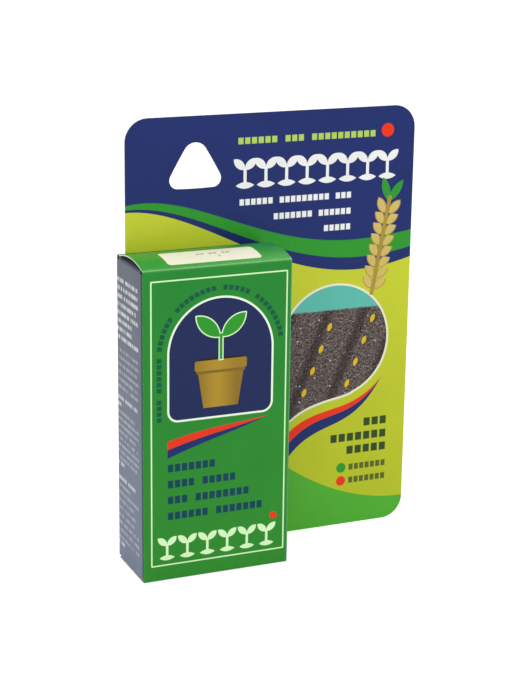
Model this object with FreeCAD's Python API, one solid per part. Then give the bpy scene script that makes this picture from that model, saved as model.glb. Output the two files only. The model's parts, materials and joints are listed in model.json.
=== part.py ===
import FreeCAD, Part

# Retail pack of a push-rod seed sower: a hang card, the folding carton that is glued to it, and the
# sower with its spare rod inside. Millimetres, +Z up. The origin is the middle of the pack's
# footprint on the surface it stands on. X runs across the card and +Y from the carton's front to
# the card's back. The sower's own pieces are drawn about the rod's axis and then set in the carton.

import math
import os

os.makedirs("parts", exist_ok=True)

Vec = FreeCAD.Vector
UP = Vec(0, 0, 1)
ACROSS = Vec(1, 0, 0)
INWARD = Vec(0, 1, 0)

# ---- Driving dimensions: sower -------------------------------------------------------------

rod_radius = 2.5
rod_fit = 0.06              # radial running clearance of the rod in its collar and bush
rod_room = 0.9              # radial room round the rod where nothing guides it
rod_entry = 2.0             # how far the rod's lower end stands in the bush at rest
rod_chamfer = 0.4
green_cell = 0.9            # radius of the seed cell in the fitted rod, for fine seed
red_cell = 1.4              # radius of the seed cell in the spare rod, for coarse seed
cell_margin = 0.2           # between a cell and the bush, above it at rest and below it pressed

tube_radius = 5.5           # outer radius of the hopper's narrow end, round the rod
hopper_radius = 9.5         # outer radius of its wide end
hopper_offset = 17.5        # between the two ends' centres
hopper_wall = 1.2
body_height = 82.0          # spout tip to hopper rim
floor_angle = 28.0          # slope of the hopper's floor, in degrees
post_wall = 1.3             # wall round the rod's bore, inside the hopper
window_width = 4.6          # feed window from the hopper to the seed cell
window_height = 7.0
spout_tip_radius = 4.9
tip_clear = 0.8             # the pressed rod stops this far inside the spout's tip
rim_band = 3.0              # height of the band round the hopper's rim
rim_proud = 0.5

bush_wall = 1.35
bush_height = 5.0
bush_fit = 0.05             # radial gap of the bush and the collar's plug in the body

collar_flange = 7.3         # radius
collar_flange_height = 1.5
collar_neck = 5.2           # radius
collar_neck_height = 6.5
collar_ring = 0.75          # how far the two rings stand out of the neck, and half their height
collar_ring_places = (0.3, 0.7)     # their middles, as shares of the neck's height
plug_length = 4.0
spring_seat = 2.0           # height of the spring's seat above the rim

knob_radius = 10.2
knob_height = 6.0
knob_roof = 1.5             # material over the rod's end
knob_recess = 2.0           # depth of the spring's pocket under the knob
knob_edge = 1.4             # rounding of the knob's edges
knob_dish = 0.6             # depth of the thumb dish
knob_rim = 2.2              # width of the ring round the dish
knob_clear = 0.8            # left between knob and collar when pressed

spring_wire = 0.7           # diameter
spring_turns = 4
spring_gap = 0.35           # radial gap to the rod, and end gap to both seats

clip_height = 0.8
clip_depth = 0.5            # how deep the clip sits in the rod
clip_proud = 0.6            # how far it stands out of the rod
clip_slot = 2.6             # width of its open side
clip_gap = 0.03             # all round, in its groove and under the collar

cap_plate = 1.4
cap_rim = 1.2               # depth of the cap's rim inside the hopper's mouth
cap_rim_wall = 0.9
cap_rim_gap = 0.25          # between that rim and the hopper
cap_gap = 0.05              # under the plate, on the hopper's rim
cap_start = 0.5             # between the cap and the collar's flange
pin_radius = 0.8
pin_fit = 0.05
pin_out = 1.7               # from the hopper's wide end to the pin's axis
knuckle_wall = 0.7
knuckle_width = 4.0
ear_width = 1.6
ear_gap = 0.12              # between an ear and the knuckle

# ---- Driving dimensions: carton and card ---------------------------------------------------

board = 0.4                 # thickness of the carton's board
corner_fold = 0.9           # outer radius of the upright folds
flap_fold = 0.9             # outer radius of the dust flaps' and the bottom flaps' folds
lid_fold = 1.8              # outer radius of the lid's soft folds, front and back
lid_crown = 1.7             # rise of the bowed lid above its front fold
crease_gap = 0.05           # where two pieces meet in a crease and turn about it
cut_inset = 0.35            # from the carton's sides to the lid's cut edges
flap_gap = 0.5              # between the dust flaps and the lid's front fold
tuck_gap = 0.4              # between the tuck flap and the back panel
tuck_height = 10.0
tuck_corner = 5.0
dust_reach = 20.0
dust_slope = 32.0           # the edge towards the lid's fold, in degrees from the flap's length
dust_taper = 12.0           # the edge towards the tuck flap
dust_corner = 2.5
dust_ramp = 4.0             # from their folds, the dust flaps rise to a bow like the lid's within this
dust_bow_gap = 0.2          # by which that bow is flatter than the lid's
shoulder = 2.4              # rounding of the side panels' top corners at the back
glue_flap_width = 12.0
glue_flap_taper = 10.0      # degrees
seam_inset = 0.3            # from the carton's side to the back panel's glued edge
inner_flap_reach = 20.0
bottom_dust_reach = 22.0
bottom_end_gap = 0.3        # from the outer bottom flap's end to the carton's back

side_room = 4.2             # left of the knob
depth_room = 3.4            # in front of the knob and behind it
rod_spacing = 4.2           # from the sower to the spare rod
rod_side_room = 5.35        # right of the spare rod
head_room = 15.1            # over the knob
seat_gap = 0.1              # under the sower and the spare rod

card_inset = 3.7            # from the carton's left side to the card's left edge
card_right_margin = 64.7    # from the carton's right side to the card's right edge
card_top_margin = 50.3      # over the carton's lid fold
card_thickness = 0.5
card_corner = 9.0
adhesive = 0.2              # thickness of the glue strips between carton and card
strip_width = 11.0
strip_inset = 6.0           # of the strips from the carton's sides
strip_end = 8.0             # of the strips from the carton's top and bottom
hole_width = 25.1           # base of the hang hole's triangle, before its corners are rounded
hole_height = 21.3
hole_bulge = 0.4            # of its three sides
hole_corner = 3.4           # rounding of its two lower corners
hole_crown = 5.0            # rounding of its top corner
hole_from_left = 28.15      # the hole's middle, from the card's left edge
hole_from_top = 27.25       # the hole's base, from the card's top edge

# ---- Derived places: sower, about the rod's axis, from the spout's tip ---------------------

press_travel = bush_height + 2 * (red_cell + cell_margin)
rod_end = press_travel + tip_clear
bush_bottom = rod_end - rod_entry
bush_top = bush_bottom + bush_height
bore_radius = rod_radius + rod_room
post_radius = bore_radius + post_wall
plug_radius = rod_radius + bush_wall
socket_radius = plug_radius + bush_fit
plug_bottom = body_height - plug_length
collar_top = body_height + collar_flange_height + collar_neck_height
knob_bottom = collar_top + press_travel + knob_clear
sower_height = knob_bottom + knob_height
rod_top = sower_height - knob_roof
spring_radius = rod_radius + spring_gap + spring_wire / 2
spring_pocket = spring_radius + spring_wire / 2 + spring_gap
spring_bottom = body_height + spring_seat
spring_top = knob_bottom + knob_recess
hopper_end = hopper_offset + hopper_radius
pin_x = hopper_end + pin_out
pin_z = body_height + cap_plate / 2
knuckle_radius = pin_radius + pin_fit + knuckle_wall
sower_reach = pin_x + knuckle_radius

# ---- Derived places: carton and card -------------------------------------------------------

floor_top = 3 * board       # outer flap, inner flap and dust flaps lie on each other
inner_width = side_room + knob_radius + sower_reach + rod_spacing + 2 * rod_radius + rod_side_room
inner_depth = 2 * (depth_room + knob_radius)
carton_width = inner_width + 2 * board
carton_depth = inner_depth + 3 * board
carton_height = floor_top + seat_gap + sower_height + head_room + board + flap_gap + board
card_width = carton_width - card_inset + card_right_margin
card_height = carton_height + card_top_margin
pack_width = card_inset + card_width
pack_depth = carton_depth + adhesive + card_thickness

left = -pack_width / 2
right = left + carton_width
front = -pack_depth / 2
back = front + carton_depth
glue_back = back - board    # outer face of the glue flap, which the back panel covers
side_top = carton_height - board - flap_gap
tuck_back = back - 2 * board - tuck_gap
card_left = left + card_inset
card_front = back + adhesive
middle_y = front + board + inner_depth / 2

sower_at = Vec(left + board + side_room + knob_radius, middle_y, floor_top + seat_gap)
spare_at = sower_at + Vec(sower_reach + rod_spacing + rod_radius, 0, -rod_end)


# ---- Helpers -------------------------------------------------------------------------------

def turned(length, degrees):
    """A step of this length in a drawing plane, in the direction of this many degrees."""
    angle = math.radians(degrees)
    return length * math.cos(angle), length * math.sin(angle)


def in_plane(origin, across, along):
    """Give the function that takes a drawing plane's (u, v) to a point in space."""
    return lambda point: origin + across * point[0] + along * point[1]


def bent_strip(start, heading, runs, plane, extrusion):
    """A board that follows a chain of tangent runs, carried along the extrusion vector.

    start and heading (degrees) set the outer side's first point. A run is (length, 0) for a
    straight or (radius, turn) for a bend that turns left by that many degrees. The board's
    thickness lies to the left of the path, which is the inside of every fold.
    """
    outer, inner = [], []
    u, v = start
    for size, turn in runs:
        marks = [(u, v, heading)]
        if turn:
            du, dv = turned(size, heading + 90)
            centre_u, centre_v = u + du, v + dv
            for share in (0.5, 1.0):
                du, dv = turned(size, heading + share * turn - 90)
                marks.append((centre_u + du, centre_v + dv, heading + share * turn))
            heading += turn
        else:
            du, dv = turned(size, heading)
            marks.append((u + du, v + dv, heading))
        u, v = marks[-1][:2]
        outer.append([plane((mark_u, mark_v)) for mark_u, mark_v, _ in marks])
        offset = []
        for mark_u, mark_v, direction in marks:
            du, dv = turned(board, direction + 90)
            offset.append(plane((mark_u + du, mark_v + dv)))
        inner.append(offset[::-1])
    edges = [run_edge(points) for points in outer]
    edges.append(run_edge([outer[-1][-1], inner[-1][0]]))
    edges += [run_edge(points) for points in inner[::-1]]
    edges.append(run_edge([inner[0][-1], outer[0][0]]))
    return Part.Face(Part.Wire(edges)).extrude(extrusion)


def run_edge(points):
    """A straight edge through two points, or an arc through three."""
    if len(points) == 2:
        return Part.LineSegment(*points).toShape()
    return Part.Arc(*points).toShape()


def polygon_prism(points, plane, extrusion):
    """A straight-sided prism over (u, v) corners in a drawing plane."""
    corners = [plane(point) for point in points]
    return Part.Face(Part.makePolygon(corners + corners[:1])).extrude(extrusion)


def round_edges(shape, radius, wanted):
    """Fillet the edges whose middle point passes the test."""
    edges = [edge for edge in shape.Edges if wanted(edge.CenterOfMass)]
    return shape.makeFillet(radius, edges)


def tube(outer, inner, height, base):
    """A plain round tube on the rod's axis, from this height up."""
    return cylinder(outer, height, base).cut(cylinder(inner, height, base))


def cylinder(radius, height, base):
    """A cylinder on the rod's axis, from this height up."""
    return Part.makeCylinder(radius, height, Vec(0, 0, base), UP)


def revolved(points):
    """Turn a closed outline of (radius, height) corners about the rod's axis."""
    corners = [Vec(-radius, 0, height) for radius, height in points]
    face = Part.Face(Part.makePolygon(corners + corners[:1]))
    return face.revolve(Vec(0, 0, 0), UP, 360)


def round_corner(centre_u, centre_v, radius, begin):
    """Corners along a quarter circle, which starts in this direction, in three chords."""
    steps = [turned(radius, begin + 30 * step) for step in range(4)]
    return [(centre_u + du, centre_v + dv) for du, dv in steps]


def moved(shape, offset):
    """A copy of the shape, set off by a vector."""
    copy = shape.copy()
    copy.translate(offset)
    return copy


# ---- Carton: four walls and the glue flap --------------------------------------------------

half = math.degrees(math.pi / 4)                          # each wall holds half of its right-angle folds
crease_turn = math.degrees(crease_gap / 2 / lid_fold)     # a moving fold's pieces stop short by this
flap_turn = math.degrees(crease_gap / 2 / flap_fold)


def fold_point(centre_u, centre_v, radius, heading):
    """The point on a fold's outer side where the path has this heading."""
    du, dv = turned(radius, heading - 90)
    return centre_u + du, centre_v + dv


def upright_wall(centre, heading, length, low, high, end_turn=half):
    """A wall with half a fold at its start, and end_turn degrees of one at its end."""
    start = fold_point(*centre, corner_fold, heading)
    runs = [(corner_fold, half), (length, 0)]
    if end_turn:
        runs.append((corner_fold, end_turn))
    plane = in_plane(Vec(0, 0, low), ACROSS, INWARD)
    return bent_strip(start, heading, runs, plane, UP * (high - low))


def front_panel():
    """The wall between the two front folds, with half of the lid's and bottom flap's folds."""
    straight = carton_width - 2 * corner_fold
    centre = (left + corner_fold, front + corner_fold)
    panel = upright_wall(centre, -half, straight, flap_fold, carton_height - lid_fold)
    plane = in_plane(ACROSS * (left + cut_inset), INWARD, UP)
    width = carton_width - 2 * cut_inset
    top, top_heading = (front + lid_fold, carton_height - lid_fold), 180 + half + crease_turn
    low = (front, flap_fold)
    for start, heading, bend in (
            (fold_point(*top, lid_fold, top_heading), top_heading, (lid_fold, half - crease_turn)),
            (low, 270, (flap_fold, half))):
        panel = panel.fuse(bent_strip(start, heading, [bend], plane, ACROSS * width))
    return panel.removeSplitter()


def side_wall_folds(on_left, y_low, y_high):
    """The side wall's middle with half of the top and bottom dust flaps' folds."""
    low = 2 * board + flap_fold
    high = side_top - flap_fold
    plane = in_plane(INWARD * y_low, ACROSS, UP)
    if on_left:
        heading = 180 + half + flap_turn
        start = fold_point(left + flap_fold, high, flap_fold, heading)
        runs = [(flap_fold, half - flap_turn), (high - low, 0), (flap_fold, half)]
    else:
        heading = half
        start = fold_point(right - flap_fold, low, flap_fold, heading)
        runs = [(flap_fold, half), (high - low, 0), (flap_fold, half - flap_turn)]
    return bent_strip(start, heading, runs, plane, INWARD * (y_high - y_low))


def shoulder_cut(y_edge):
    """What rounds a side panel's top corner at the back, where the dust flap's fold ends."""
    top = side_top - flap_fold
    block = Part.makeBox(pack_width, shoulder, shoulder, Vec(left, y_edge - shoulder, top - shoulder))
    axis_point = Vec(left, y_edge - shoulder, top - shoulder)
    return block.cut(Part.makeCylinder(shoulder, pack_width, axis_point, ACROSS))


def side_panel(on_left):
    """The left or right wall; the right one ends where it turns into the glue flap."""
    edge = back if on_left else glue_back
    straight = edge - front - 2 * corner_fold
    low = 2 * board + flap_fold
    if on_left:
        centre = (left + corner_fold, edge - corner_fold)
        wall = upright_wall(centre, 180 + half, straight, low, side_top - flap_fold)
    else:
        centre = (right - corner_fold, front + corner_fold)
        wall = upright_wall(centre, half, straight, low, side_top - flap_fold)
    wall = wall.cut(shoulder_cut(edge))
    folds = side_wall_folds(on_left, front + lid_fold, glue_back - board - shoulder)
    return wall.fuse(folds).removeSplitter()


def back_panel():
    """The rear wall: a cut edge over the glue flap, a fold at the left and one at the bottom."""
    straight = carton_width - seam_inset - corner_fold
    low = board + flap_fold
    plane = in_plane(Vec(0, 0, low), ACROSS, INWARD)
    runs = [(straight, 0), (corner_fold, half)]
    top = carton_height - board
    wall = bent_strip((right - seam_inset, back), 180, runs, plane, UP * (top - low))
    plane = in_plane(ACROSS * (left + corner_fold), INWARD, UP)
    start = fold_point(back - flap_fold, low, flap_fold, half)
    runs = [(flap_fold, half), (board, 0)]
    fold = bent_strip(start, half, runs, plane, ACROSS * straight)
    return wall.fuse(fold).removeSplitter()


def glue_flap():
    """The right wall's glued flap, inside the back panel, with tapered ends."""
    low = 2 * board + flap_fold
    high = side_top - flap_fold - shoulder
    plane = in_plane(Vec(0, 0, low), ACROSS, INWARD)
    start = fold_point(right - corner_fold, glue_back - corner_fold, corner_fold, 90 + half)
    runs = [(corner_fold, half), (glue_flap_width, 0)]
    flap = bent_strip(start, 90 + half, runs, plane, UP * (high - low))
    root = right - corner_fold
    drop = glue_flap_width * math.tan(math.radians(glue_flap_taper))
    plane = in_plane(INWARD * (glue_back - 2 * board), ACROSS, UP)
    for level, way in ((low, 1), (high, -1)):
        corners = [(root, level), (root - glue_flap_width, level + way * drop),
                   (root - glue_flap_width - board, level + way * drop),
                   (root - glue_flap_width - board, level - way * board), (root, level - way * board)]
        flap = flap.cut(polygon_prism(corners, plane, INWARD * 3 * board))
    return flap


# ---- Carton: bottom flaps, glued one on another --------------------------------------------

def bottom_outer_flap():
    """Turned in from the front panel, this flap closes the whole bottom."""
    plane = in_plane(ACROSS * (left + cut_inset), INWARD, UP)
    start = fold_point(front + flap_fold, flap_fold, flap_fold, -half)
    runs = [(flap_fold, half), (carton_depth - flap_fold - bottom_end_gap, 0)]
    return bent_strip(start, -half, runs, plane, ACROSS * (carton_width - 2 * cut_inset))


def bottom_inner_flap():
    """Turned in from the back panel, between the outer flap and the dust flaps."""
    plane = in_plane(ACROSS * (left + corner_fold), INWARD, UP)
    begin = back - flap_fold - inner_flap_reach
    runs = [(inner_flap_reach, 0), (flap_fold, half)]
    width = carton_width - seam_inset - corner_fold
    return bent_strip((begin, board), 0, runs, plane, ACROSS * width)


def bottom_dust_flap(on_left):
    """The bottom's inmost flaps, turned in from the side panels."""
    y_low = front + lid_fold
    depth = glue_back - board - shoulder - y_low
    plane = in_plane(INWARD * y_low, ACROSS, UP)
    level = 2 * board
    if on_left:
        start = fold_point(left + flap_fold, level + flap_fold, flap_fold, -half)
        runs = [(flap_fold, half), (bottom_dust_reach, 0)]
        return bent_strip(start, -half, runs, plane, INWARD * depth)
    begin = right - flap_fold - bottom_dust_reach
    runs = [(bottom_dust_reach, 0), (flap_fold, half)]
    return bent_strip((begin, level), 0, runs, plane, INWARD * depth)


# ---- Carton: lid, tuck flap and top dust flaps ---------------------------------------------

lid_span = tuck_back - front - 2 * lid_fold               # between the two folds' centres
bow_angle = math.degrees(2 * math.atan(2 * lid_crown / lid_span))
bow_radius = lid_fold + lid_span / 2 / math.sin(math.radians(bow_angle))


def top_lid():
    """The bowed lid between its two folds, front and back."""
    turn = half - crease_turn - bow_angle
    heading = 90 + half + crease_turn
    start = fold_point(tuck_back - lid_fold, carton_height - lid_fold, lid_fold, heading)
    runs = [(lid_fold, turn), (bow_radius, 2 * bow_angle), (lid_fold, turn)]
    plane = in_plane(ACROSS * (left + cut_inset), INWARD, UP)
    width = carton_width - 2 * cut_inset
    return bent_strip(start, heading, runs, plane, ACROSS * width)


def top_tuck_flap():
    """The flap that slides down inside the back panel, with round lower corners."""
    inset = board + cut_inset
    plane = in_plane(ACROSS * (left + inset), INWARD, UP)
    low = carton_height - lid_fold - tuck_height
    runs = [(tuck_height, 0), (lid_fold, half - crease_turn)]
    flap = bent_strip((tuck_back, low), 90, runs, plane, ACROSS * (carton_width - 2 * inset))
    return round_edges(flap, tuck_corner, lambda middle: middle.z < low + board
                       and abs(abs(middle.x - (left + right) / 2) - carton_width / 2 + inset) < board)


def under_flap_bow(y_low, y_high, bow, drop):
    """What lies under the left dust flap's ramp and bow, lowered by drop."""
    level = side_top - drop
    base = level - 2 * board
    root, tip = left + flap_fold, left + dust_reach
    plane = in_plane(ACROSS * root, INWARD, UP)
    ends = [plane((y_low, level)), plane((y_high, level)), plane((y_high, base)), plane((y_low, base))]
    crown = plane(((y_low + y_high) / 2, level + bow))
    outline = [[ends[0], crown, ends[1]], ends[1:3], ends[2:], [ends[3], ends[0]]]
    bowed = Part.Face(Part.Wire([run_edge(points) for points in outline])).extrude(ACROSS * (tip - root))
    corners = [(root, base), (root, level), (root + dust_ramp, level + bow),
               (tip, level + bow), (tip, base)]
    ramp = polygon_prism(corners, in_plane(INWARD * y_low, ACROSS, UP), INWARD * (y_high - y_low))
    return bowed.common(ramp)


def top_dust_flap(on_left):
    """A dust flap under the lid, cut back towards the lid's fold so that both can turn.

    A flat ramp rises from its fold and meets, in a curved crease, a bow that follows the lid's.
    The right flap is the left one's mirror image.
    """
    y_low, y_high = front + lid_fold, glue_back - board - shoulder
    root, tip = left + flap_fold, left + dust_reach
    bow = lid_crown - dust_bow_gap
    plane = in_plane(INWARD * y_low, ACROSS, UP)
    runs = [(flap_fold, half - flap_turn)]
    fold = bent_strip((root, side_top), 180, runs, plane, INWARD * (y_high - y_low))
    plate = under_flap_bow(y_low, y_high, bow, 0).cut(under_flap_bow(y_low, y_high, bow, board))
    front_rise = dust_reach * math.tan(math.radians(dust_slope))
    back_fall = dust_reach * math.tan(math.radians(dust_taper))
    outline = [(left, y_low), (tip, y_low + front_rise), (tip, y_high - back_fall), (left, y_high)]
    low, height = side_top - flap_fold, 2 * flap_fold + bow
    keep = polygon_prism(outline, in_plane(UP * low, ACROSS, INWARD), UP * height)
    keep = round_edges(keep, dust_corner, lambda middle: abs(middle.x - tip) < board
                       and abs(middle.z - low - height / 2) < board / 2)
    flap = fold.fuse(plate).common(keep).removeSplitter()
    if on_left:
        return flap
    return flap.mirror(Vec((left + right) / 2, 0, 0), ACROSS)


# ---- Card ----------------------------------------------------------------------------------

def hang_card():
    """The printed card with round corners and a three-sided hang hole."""
    card = Part.makeBox(card_width, card_thickness, card_height, Vec(card_left, card_front, 0))
    half_way = card_front + card_thickness / 2
    card = round_edges(card, card_corner, lambda middle: abs(middle.y - half_way) < card_thickness / 4)
    centre = card_left + hole_from_left
    base = card_height - hole_from_top
    plane = in_plane(INWARD * (card_front - board), ACROSS, UP)
    corners = [(centre - hole_width / 2, base), (centre + hole_width / 2, base),
               (centre, base + hole_height)]
    edges = []
    for first, second in zip(corners, corners[1:] + corners[:1]):
        run_u, run_v = second[0] - first[0], second[1] - first[1]
        share = hole_bulge / math.hypot(run_u, run_v)
        bulged = ((first[0] + second[0]) / 2 + run_v * share, (first[1] + second[1]) / 2 - run_u * share)
        edges.append(run_edge([plane(first), plane(bulged), plane(second)]))
    depth = card_thickness + 2 * board
    hole = Part.Face(Part.Wire(edges)).extrude(INWARD * depth)
    half_way = card_front - board + depth / 2
    across_board = lambda middle: abs(middle.y - half_way) < board / 2
    crown_level = base + hole_height / 2
    hole = round_edges(hole, hole_crown, lambda middle: across_board(middle) and middle.z > crown_level)
    hole = round_edges(hole, hole_corner, lambda middle: across_board(middle) and middle.z < base + 1)
    return card.cut(hole)


def card_adhesive():
    """Two upright glue strips between the carton's back and the card."""
    height = carton_height - 2 * strip_end
    places = (left + strip_inset, right - strip_inset - strip_width)
    strips = [Part.makeBox(strip_width, adhesive, height, Vec(x, back, strip_end)) for x in places]
    return Part.makeCompound(strips)


# ---- Sower ---------------------------------------------------------------------------------

def teardrop(shrink):
    """The hopper's outline in plan: two circles and their outer tangents, made smaller all round."""
    small, large = tube_radius - shrink, hopper_radius - shrink
    lean = math.asin((large - small) / hopper_offset)
    sine, cosine = math.sin(lean), math.cos(lean)
    near = [Vec(-small * sine, side * small * cosine, 0) for side in (1, -1)]
    far = [Vec(hopper_offset - large * sine, side * large * cosine, 0) for side in (-1, 1)]
    return Part.Face(Part.Wire([
        run_edge([near[0], Vec(-small, 0, 0), near[1]]),
        run_edge([near[1], far[0]]),
        run_edge([far[0], Vec(hopper_offset + large, 0, 0), far[1]]),
        run_edge([far[1], near[0]])]))


def below_floor(drop):
    """Everything under the hopper's sloping floor, lowered by drop."""
    slope = math.tan(math.radians(floor_angle))
    reach = 2 * hopper_end
    level = bush_top - drop - post_radius * slope
    corners = [(-reach, -body_height), (reach, -body_height), (reach, level + reach * slope),
               (-reach, level - reach * slope)]
    plane = in_plane(Vec(0, -reach, 0), ACROSS, UP)
    return polygon_prism(corners, plane, INWARD * 2 * reach)


def hinge_ear(y_low):
    """One ear for the cap's pin, on the hopper's wide end."""
    drop = 2 * knuckle_radius
    ear = Part.makeCylinder(knuckle_radius, ear_width, Vec(pin_x, y_low, pin_z), INWARD)
    plane = in_plane(INWARD * y_low, ACROSS, UP)
    root = hopper_end - hopper_wall
    corners = [(root, pin_z - drop - knuckle_radius), (pin_x + knuckle_radius, pin_z),
               (pin_x, pin_z + knuckle_radius), (root, body_height)]
    web = polygon_prism(corners, plane, INWARD * ear_width)
    hopper = teardrop(hopper_wall).extrude(UP * sower_height)
    return ear.fuse(web).cut(hopper)


def hopper_body():
    """The moulded hopper: teardrop shell, sloping floor, post round the rod, spout and ears."""
    shell = teardrop(0).extrude(UP * body_height)
    shell = shell.cut(below_floor(hopper_wall / math.cos(math.radians(floor_angle))))
    band = teardrop(-rim_proud).extrude(UP * rim_band)
    shell = shell.fuse(moved(band, UP * (body_height - rim_band)))
    spout = Part.makeCone(spout_tip_radius, tube_radius, bush_top, Vec(0, 0, 0), UP)
    body = shell.fuse(spout)
    cavity = teardrop(hopper_wall).extrude(UP * body_height).cut(below_floor(0))
    cavity = cavity.cut(cylinder(post_radius, body_height, 0))
    body = body.cut(cavity)
    bores = cylinder(bore_radius, body_height, 0).fuse(cylinder(socket_radius, bush_top, 0))
    body = body.cut(bores.fuse(cylinder(socket_radius, plug_length, plug_bottom)))
    window = Part.makeBox(2 * post_radius, window_width, window_height,
                          Vec(0, -window_width / 2, bush_top))
    body = body.cut(window.common(cylinder(post_radius + board, body_height, 0)))
    ear_start = knuckle_width / 2 + ear_gap
    for y_low in (ear_start, -ear_start - ear_width):
        body = body.fuse(hinge_ear(y_low))
    bore = Part.makeCylinder(pin_radius + pin_fit, knuckle_width * 4,
                             Vec(pin_x, -knuckle_width * 2, pin_z), INWARD)
    relief_width = knuckle_width + 2 * ear_gap
    relief = Part.makeCylinder(knuckle_radius + ear_gap, relief_width,
                               Vec(pin_x, -relief_width / 2, pin_z), INWARD)
    return body.cut(bore).cut(relief).removeSplitter()


def hopper_cap():
    """The hinged cap over the seed opening, with a rim that enters the mouth and a knuckle."""
    level = body_height + cap_gap
    start = collar_flange + cap_start
    keep = Part.makeBox(hopper_end, 4 * hopper_radius, sower_height, Vec(start, -2 * hopper_radius, 0))
    plate = moved(teardrop(0).extrude(UP * cap_plate), UP * level).common(keep)
    rim_edges = [edge for edge in plate.Edges if edge.BoundBox.ZMin > level + cap_plate - cap_gap]
    plate = plate.makeChamfer(cap_plate / 3, rim_edges)
    outer = teardrop(hopper_wall + cap_rim_gap).extrude(UP * cap_rim)
    inner = teardrop(hopper_wall + cap_rim_gap + cap_rim_wall).extrude(UP * cap_rim)
    rim = moved(outer.cut(inner), UP * (level - cap_rim)).common(keep)
    knuckle = Part.makeCylinder(knuckle_radius, knuckle_width, Vec(pin_x, -knuckle_width / 2, pin_z),
                                INWARD)
    tongue = Part.makeBox(pin_x - hopper_offset, knuckle_width, cap_plate,
                          Vec(hopper_offset, -knuckle_width / 2, level))
    bore = Part.makeCylinder(pin_radius + pin_fit, knuckle_width * 2,
                             Vec(pin_x, -knuckle_width, pin_z), INWARD)
    slot_width = ear_width + 2 * ear_gap
    cap = plate.fuse(rim).fuse(knuckle).fuse(tongue).cut(bore)
    for y_low in (knuckle_width / 2, -knuckle_width / 2 - slot_width):
        slot = Part.makeBox(2 * knuckle_radius, slot_width, sower_height,
                            Vec(hopper_end - hopper_wall - cap_rim_gap, y_low, 0))
        cap = cap.cut(slot)
    return cap.removeSplitter()


def cap_hinge_pin():
    """The pin through both ears and the cap's knuckle."""
    length = knuckle_width + 2 * (ear_gap + ear_width)
    return Part.makeCylinder(pin_radius, length, Vec(pin_x, -length / 2, pin_z), INWARD)


def guide_collar():
    """The ringed neck on the hopper: it guides the rod and holds the spring's lower end."""
    flange_top = body_height + collar_flange_height
    bore = rod_radius + rod_fit
    outline = [(bore, plug_bottom), (plug_radius, plug_bottom), (plug_radius, body_height),
               (collar_flange, body_height), (collar_flange, flange_top), (collar_neck, flange_top)]
    ring_top = collar_neck + collar_ring
    for share in collar_ring_places:
        level = flange_top + share * collar_neck_height
        outline += [(collar_neck, level - collar_ring), (ring_top, level - collar_ring / 2),
                    (ring_top, level + collar_ring / 2), (collar_neck, level + collar_ring)]
    outline += [(collar_neck, collar_top), (spring_pocket, collar_top),
                (spring_pocket, spring_bottom), (bore, spring_bottom)]
    return revolved(outline)


def outlet_bush():
    """The close-fitting bush that the seed cell passes through on its way to the spout."""
    return tube(plug_radius, rod_radius + rod_fit, bush_height, bush_bottom)


def metering_rod(cell_radius):
    """A rod with one seed cell in its side and a groove for the clip."""
    rod = revolved([(0, rod_end), (rod_radius - rod_chamfer, rod_end),
                    (rod_radius, rod_end + rod_chamfer), (rod_radius, rod_top - rod_chamfer),
                    (rod_radius - rod_chamfer, rod_top), (0, rod_top)])
    cell_level = bush_top + red_cell + cell_margin
    rod = rod.cut(Part.makeSphere(cell_radius, Vec(rod_radius, 0, cell_level)))
    groove_bottom = plug_bottom - 2 * clip_gap - clip_height
    groove = tube(2 * rod_radius, rod_radius - clip_depth, clip_height + 2 * clip_gap, groove_bottom)
    return rod.cut(groove)


def rod_clip():
    """The open spring clip in the rod's groove, which stops the rod under the collar."""
    base = plug_bottom - clip_gap - clip_height
    clip = tube(rod_radius + clip_proud, rod_radius - clip_depth + clip_gap, clip_height, base)
    slot = Part.makeBox(2 * rod_radius, clip_slot, clip_height, Vec(0, -clip_slot / 2, base))
    return clip.cut(slot)


def push_knob():
    """The thumb knob: a dished disc with a ring round its edge and a pocket for the spring."""
    socket = rod_radius + bush_fit
    dish_radius = knob_radius - knob_rim
    edge_centre = knob_radius - knob_edge
    outline = [(0, rod_top), (socket, rod_top), (socket, spring_top), (spring_pocket, spring_top),
               (spring_pocket, knob_bottom)]
    outline += round_corner(edge_centre, knob_bottom + knob_edge, knob_edge, -90)
    outline += round_corner(edge_centre, sower_height - knob_edge, knob_edge, 0)
    outline += [(dish_radius, sower_height), (dish_radius - knob_dish, sower_height - knob_dish),
                (0, sower_height - knob_dish)]
    return revolved(outline)


def return_spring():
    """The coil between the collar's seat and the knob's pocket."""
    length = spring_top - spring_bottom - 2 * spring_gap - spring_wire
    helix = Part.makeHelix(length / spring_turns, length, spring_radius)
    rise = math.atan2(length / spring_turns, 2 * math.pi * spring_radius)
    wire_up = Vec(0, -math.sin(rise), math.cos(rise))
    plane = in_plane(ACROSS * spring_radius, ACROSS, wire_up)
    corners = [plane(turned(spring_wire / 2, side * 60)) for side in range(6)]
    section = Part.makePolygon(corners + corners[:1])
    coil = Part.Wire(helix).makePipeShell([section], True, True)
    return moved(coil, UP * (spring_bottom + spring_gap + spring_wire / 2))


# ---- Nodes ---------------------------------------------------------------------------------

carton_pieces = {
    "front_panel": front_panel(),
    "left_panel": side_panel(True),
    "right_panel": side_panel(False),
    "back_panel": back_panel(),
    "glue_flap": glue_flap(),
    "bottom_outer_flap": bottom_outer_flap(),
    "bottom_inner_flap": bottom_inner_flap(),
    "bottom_left_dust_flap": bottom_dust_flap(True),
    "bottom_right_dust_flap": bottom_dust_flap(False),
    "top_lid": top_lid(),
    "top_tuck_flap": top_tuck_flap(),
    "top_left_dust_flap": top_dust_flap(True),
    "top_right_dust_flap": top_dust_flap(False),
    "hang_card": hang_card(),
    "card_adhesive": card_adhesive(),
}

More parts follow.
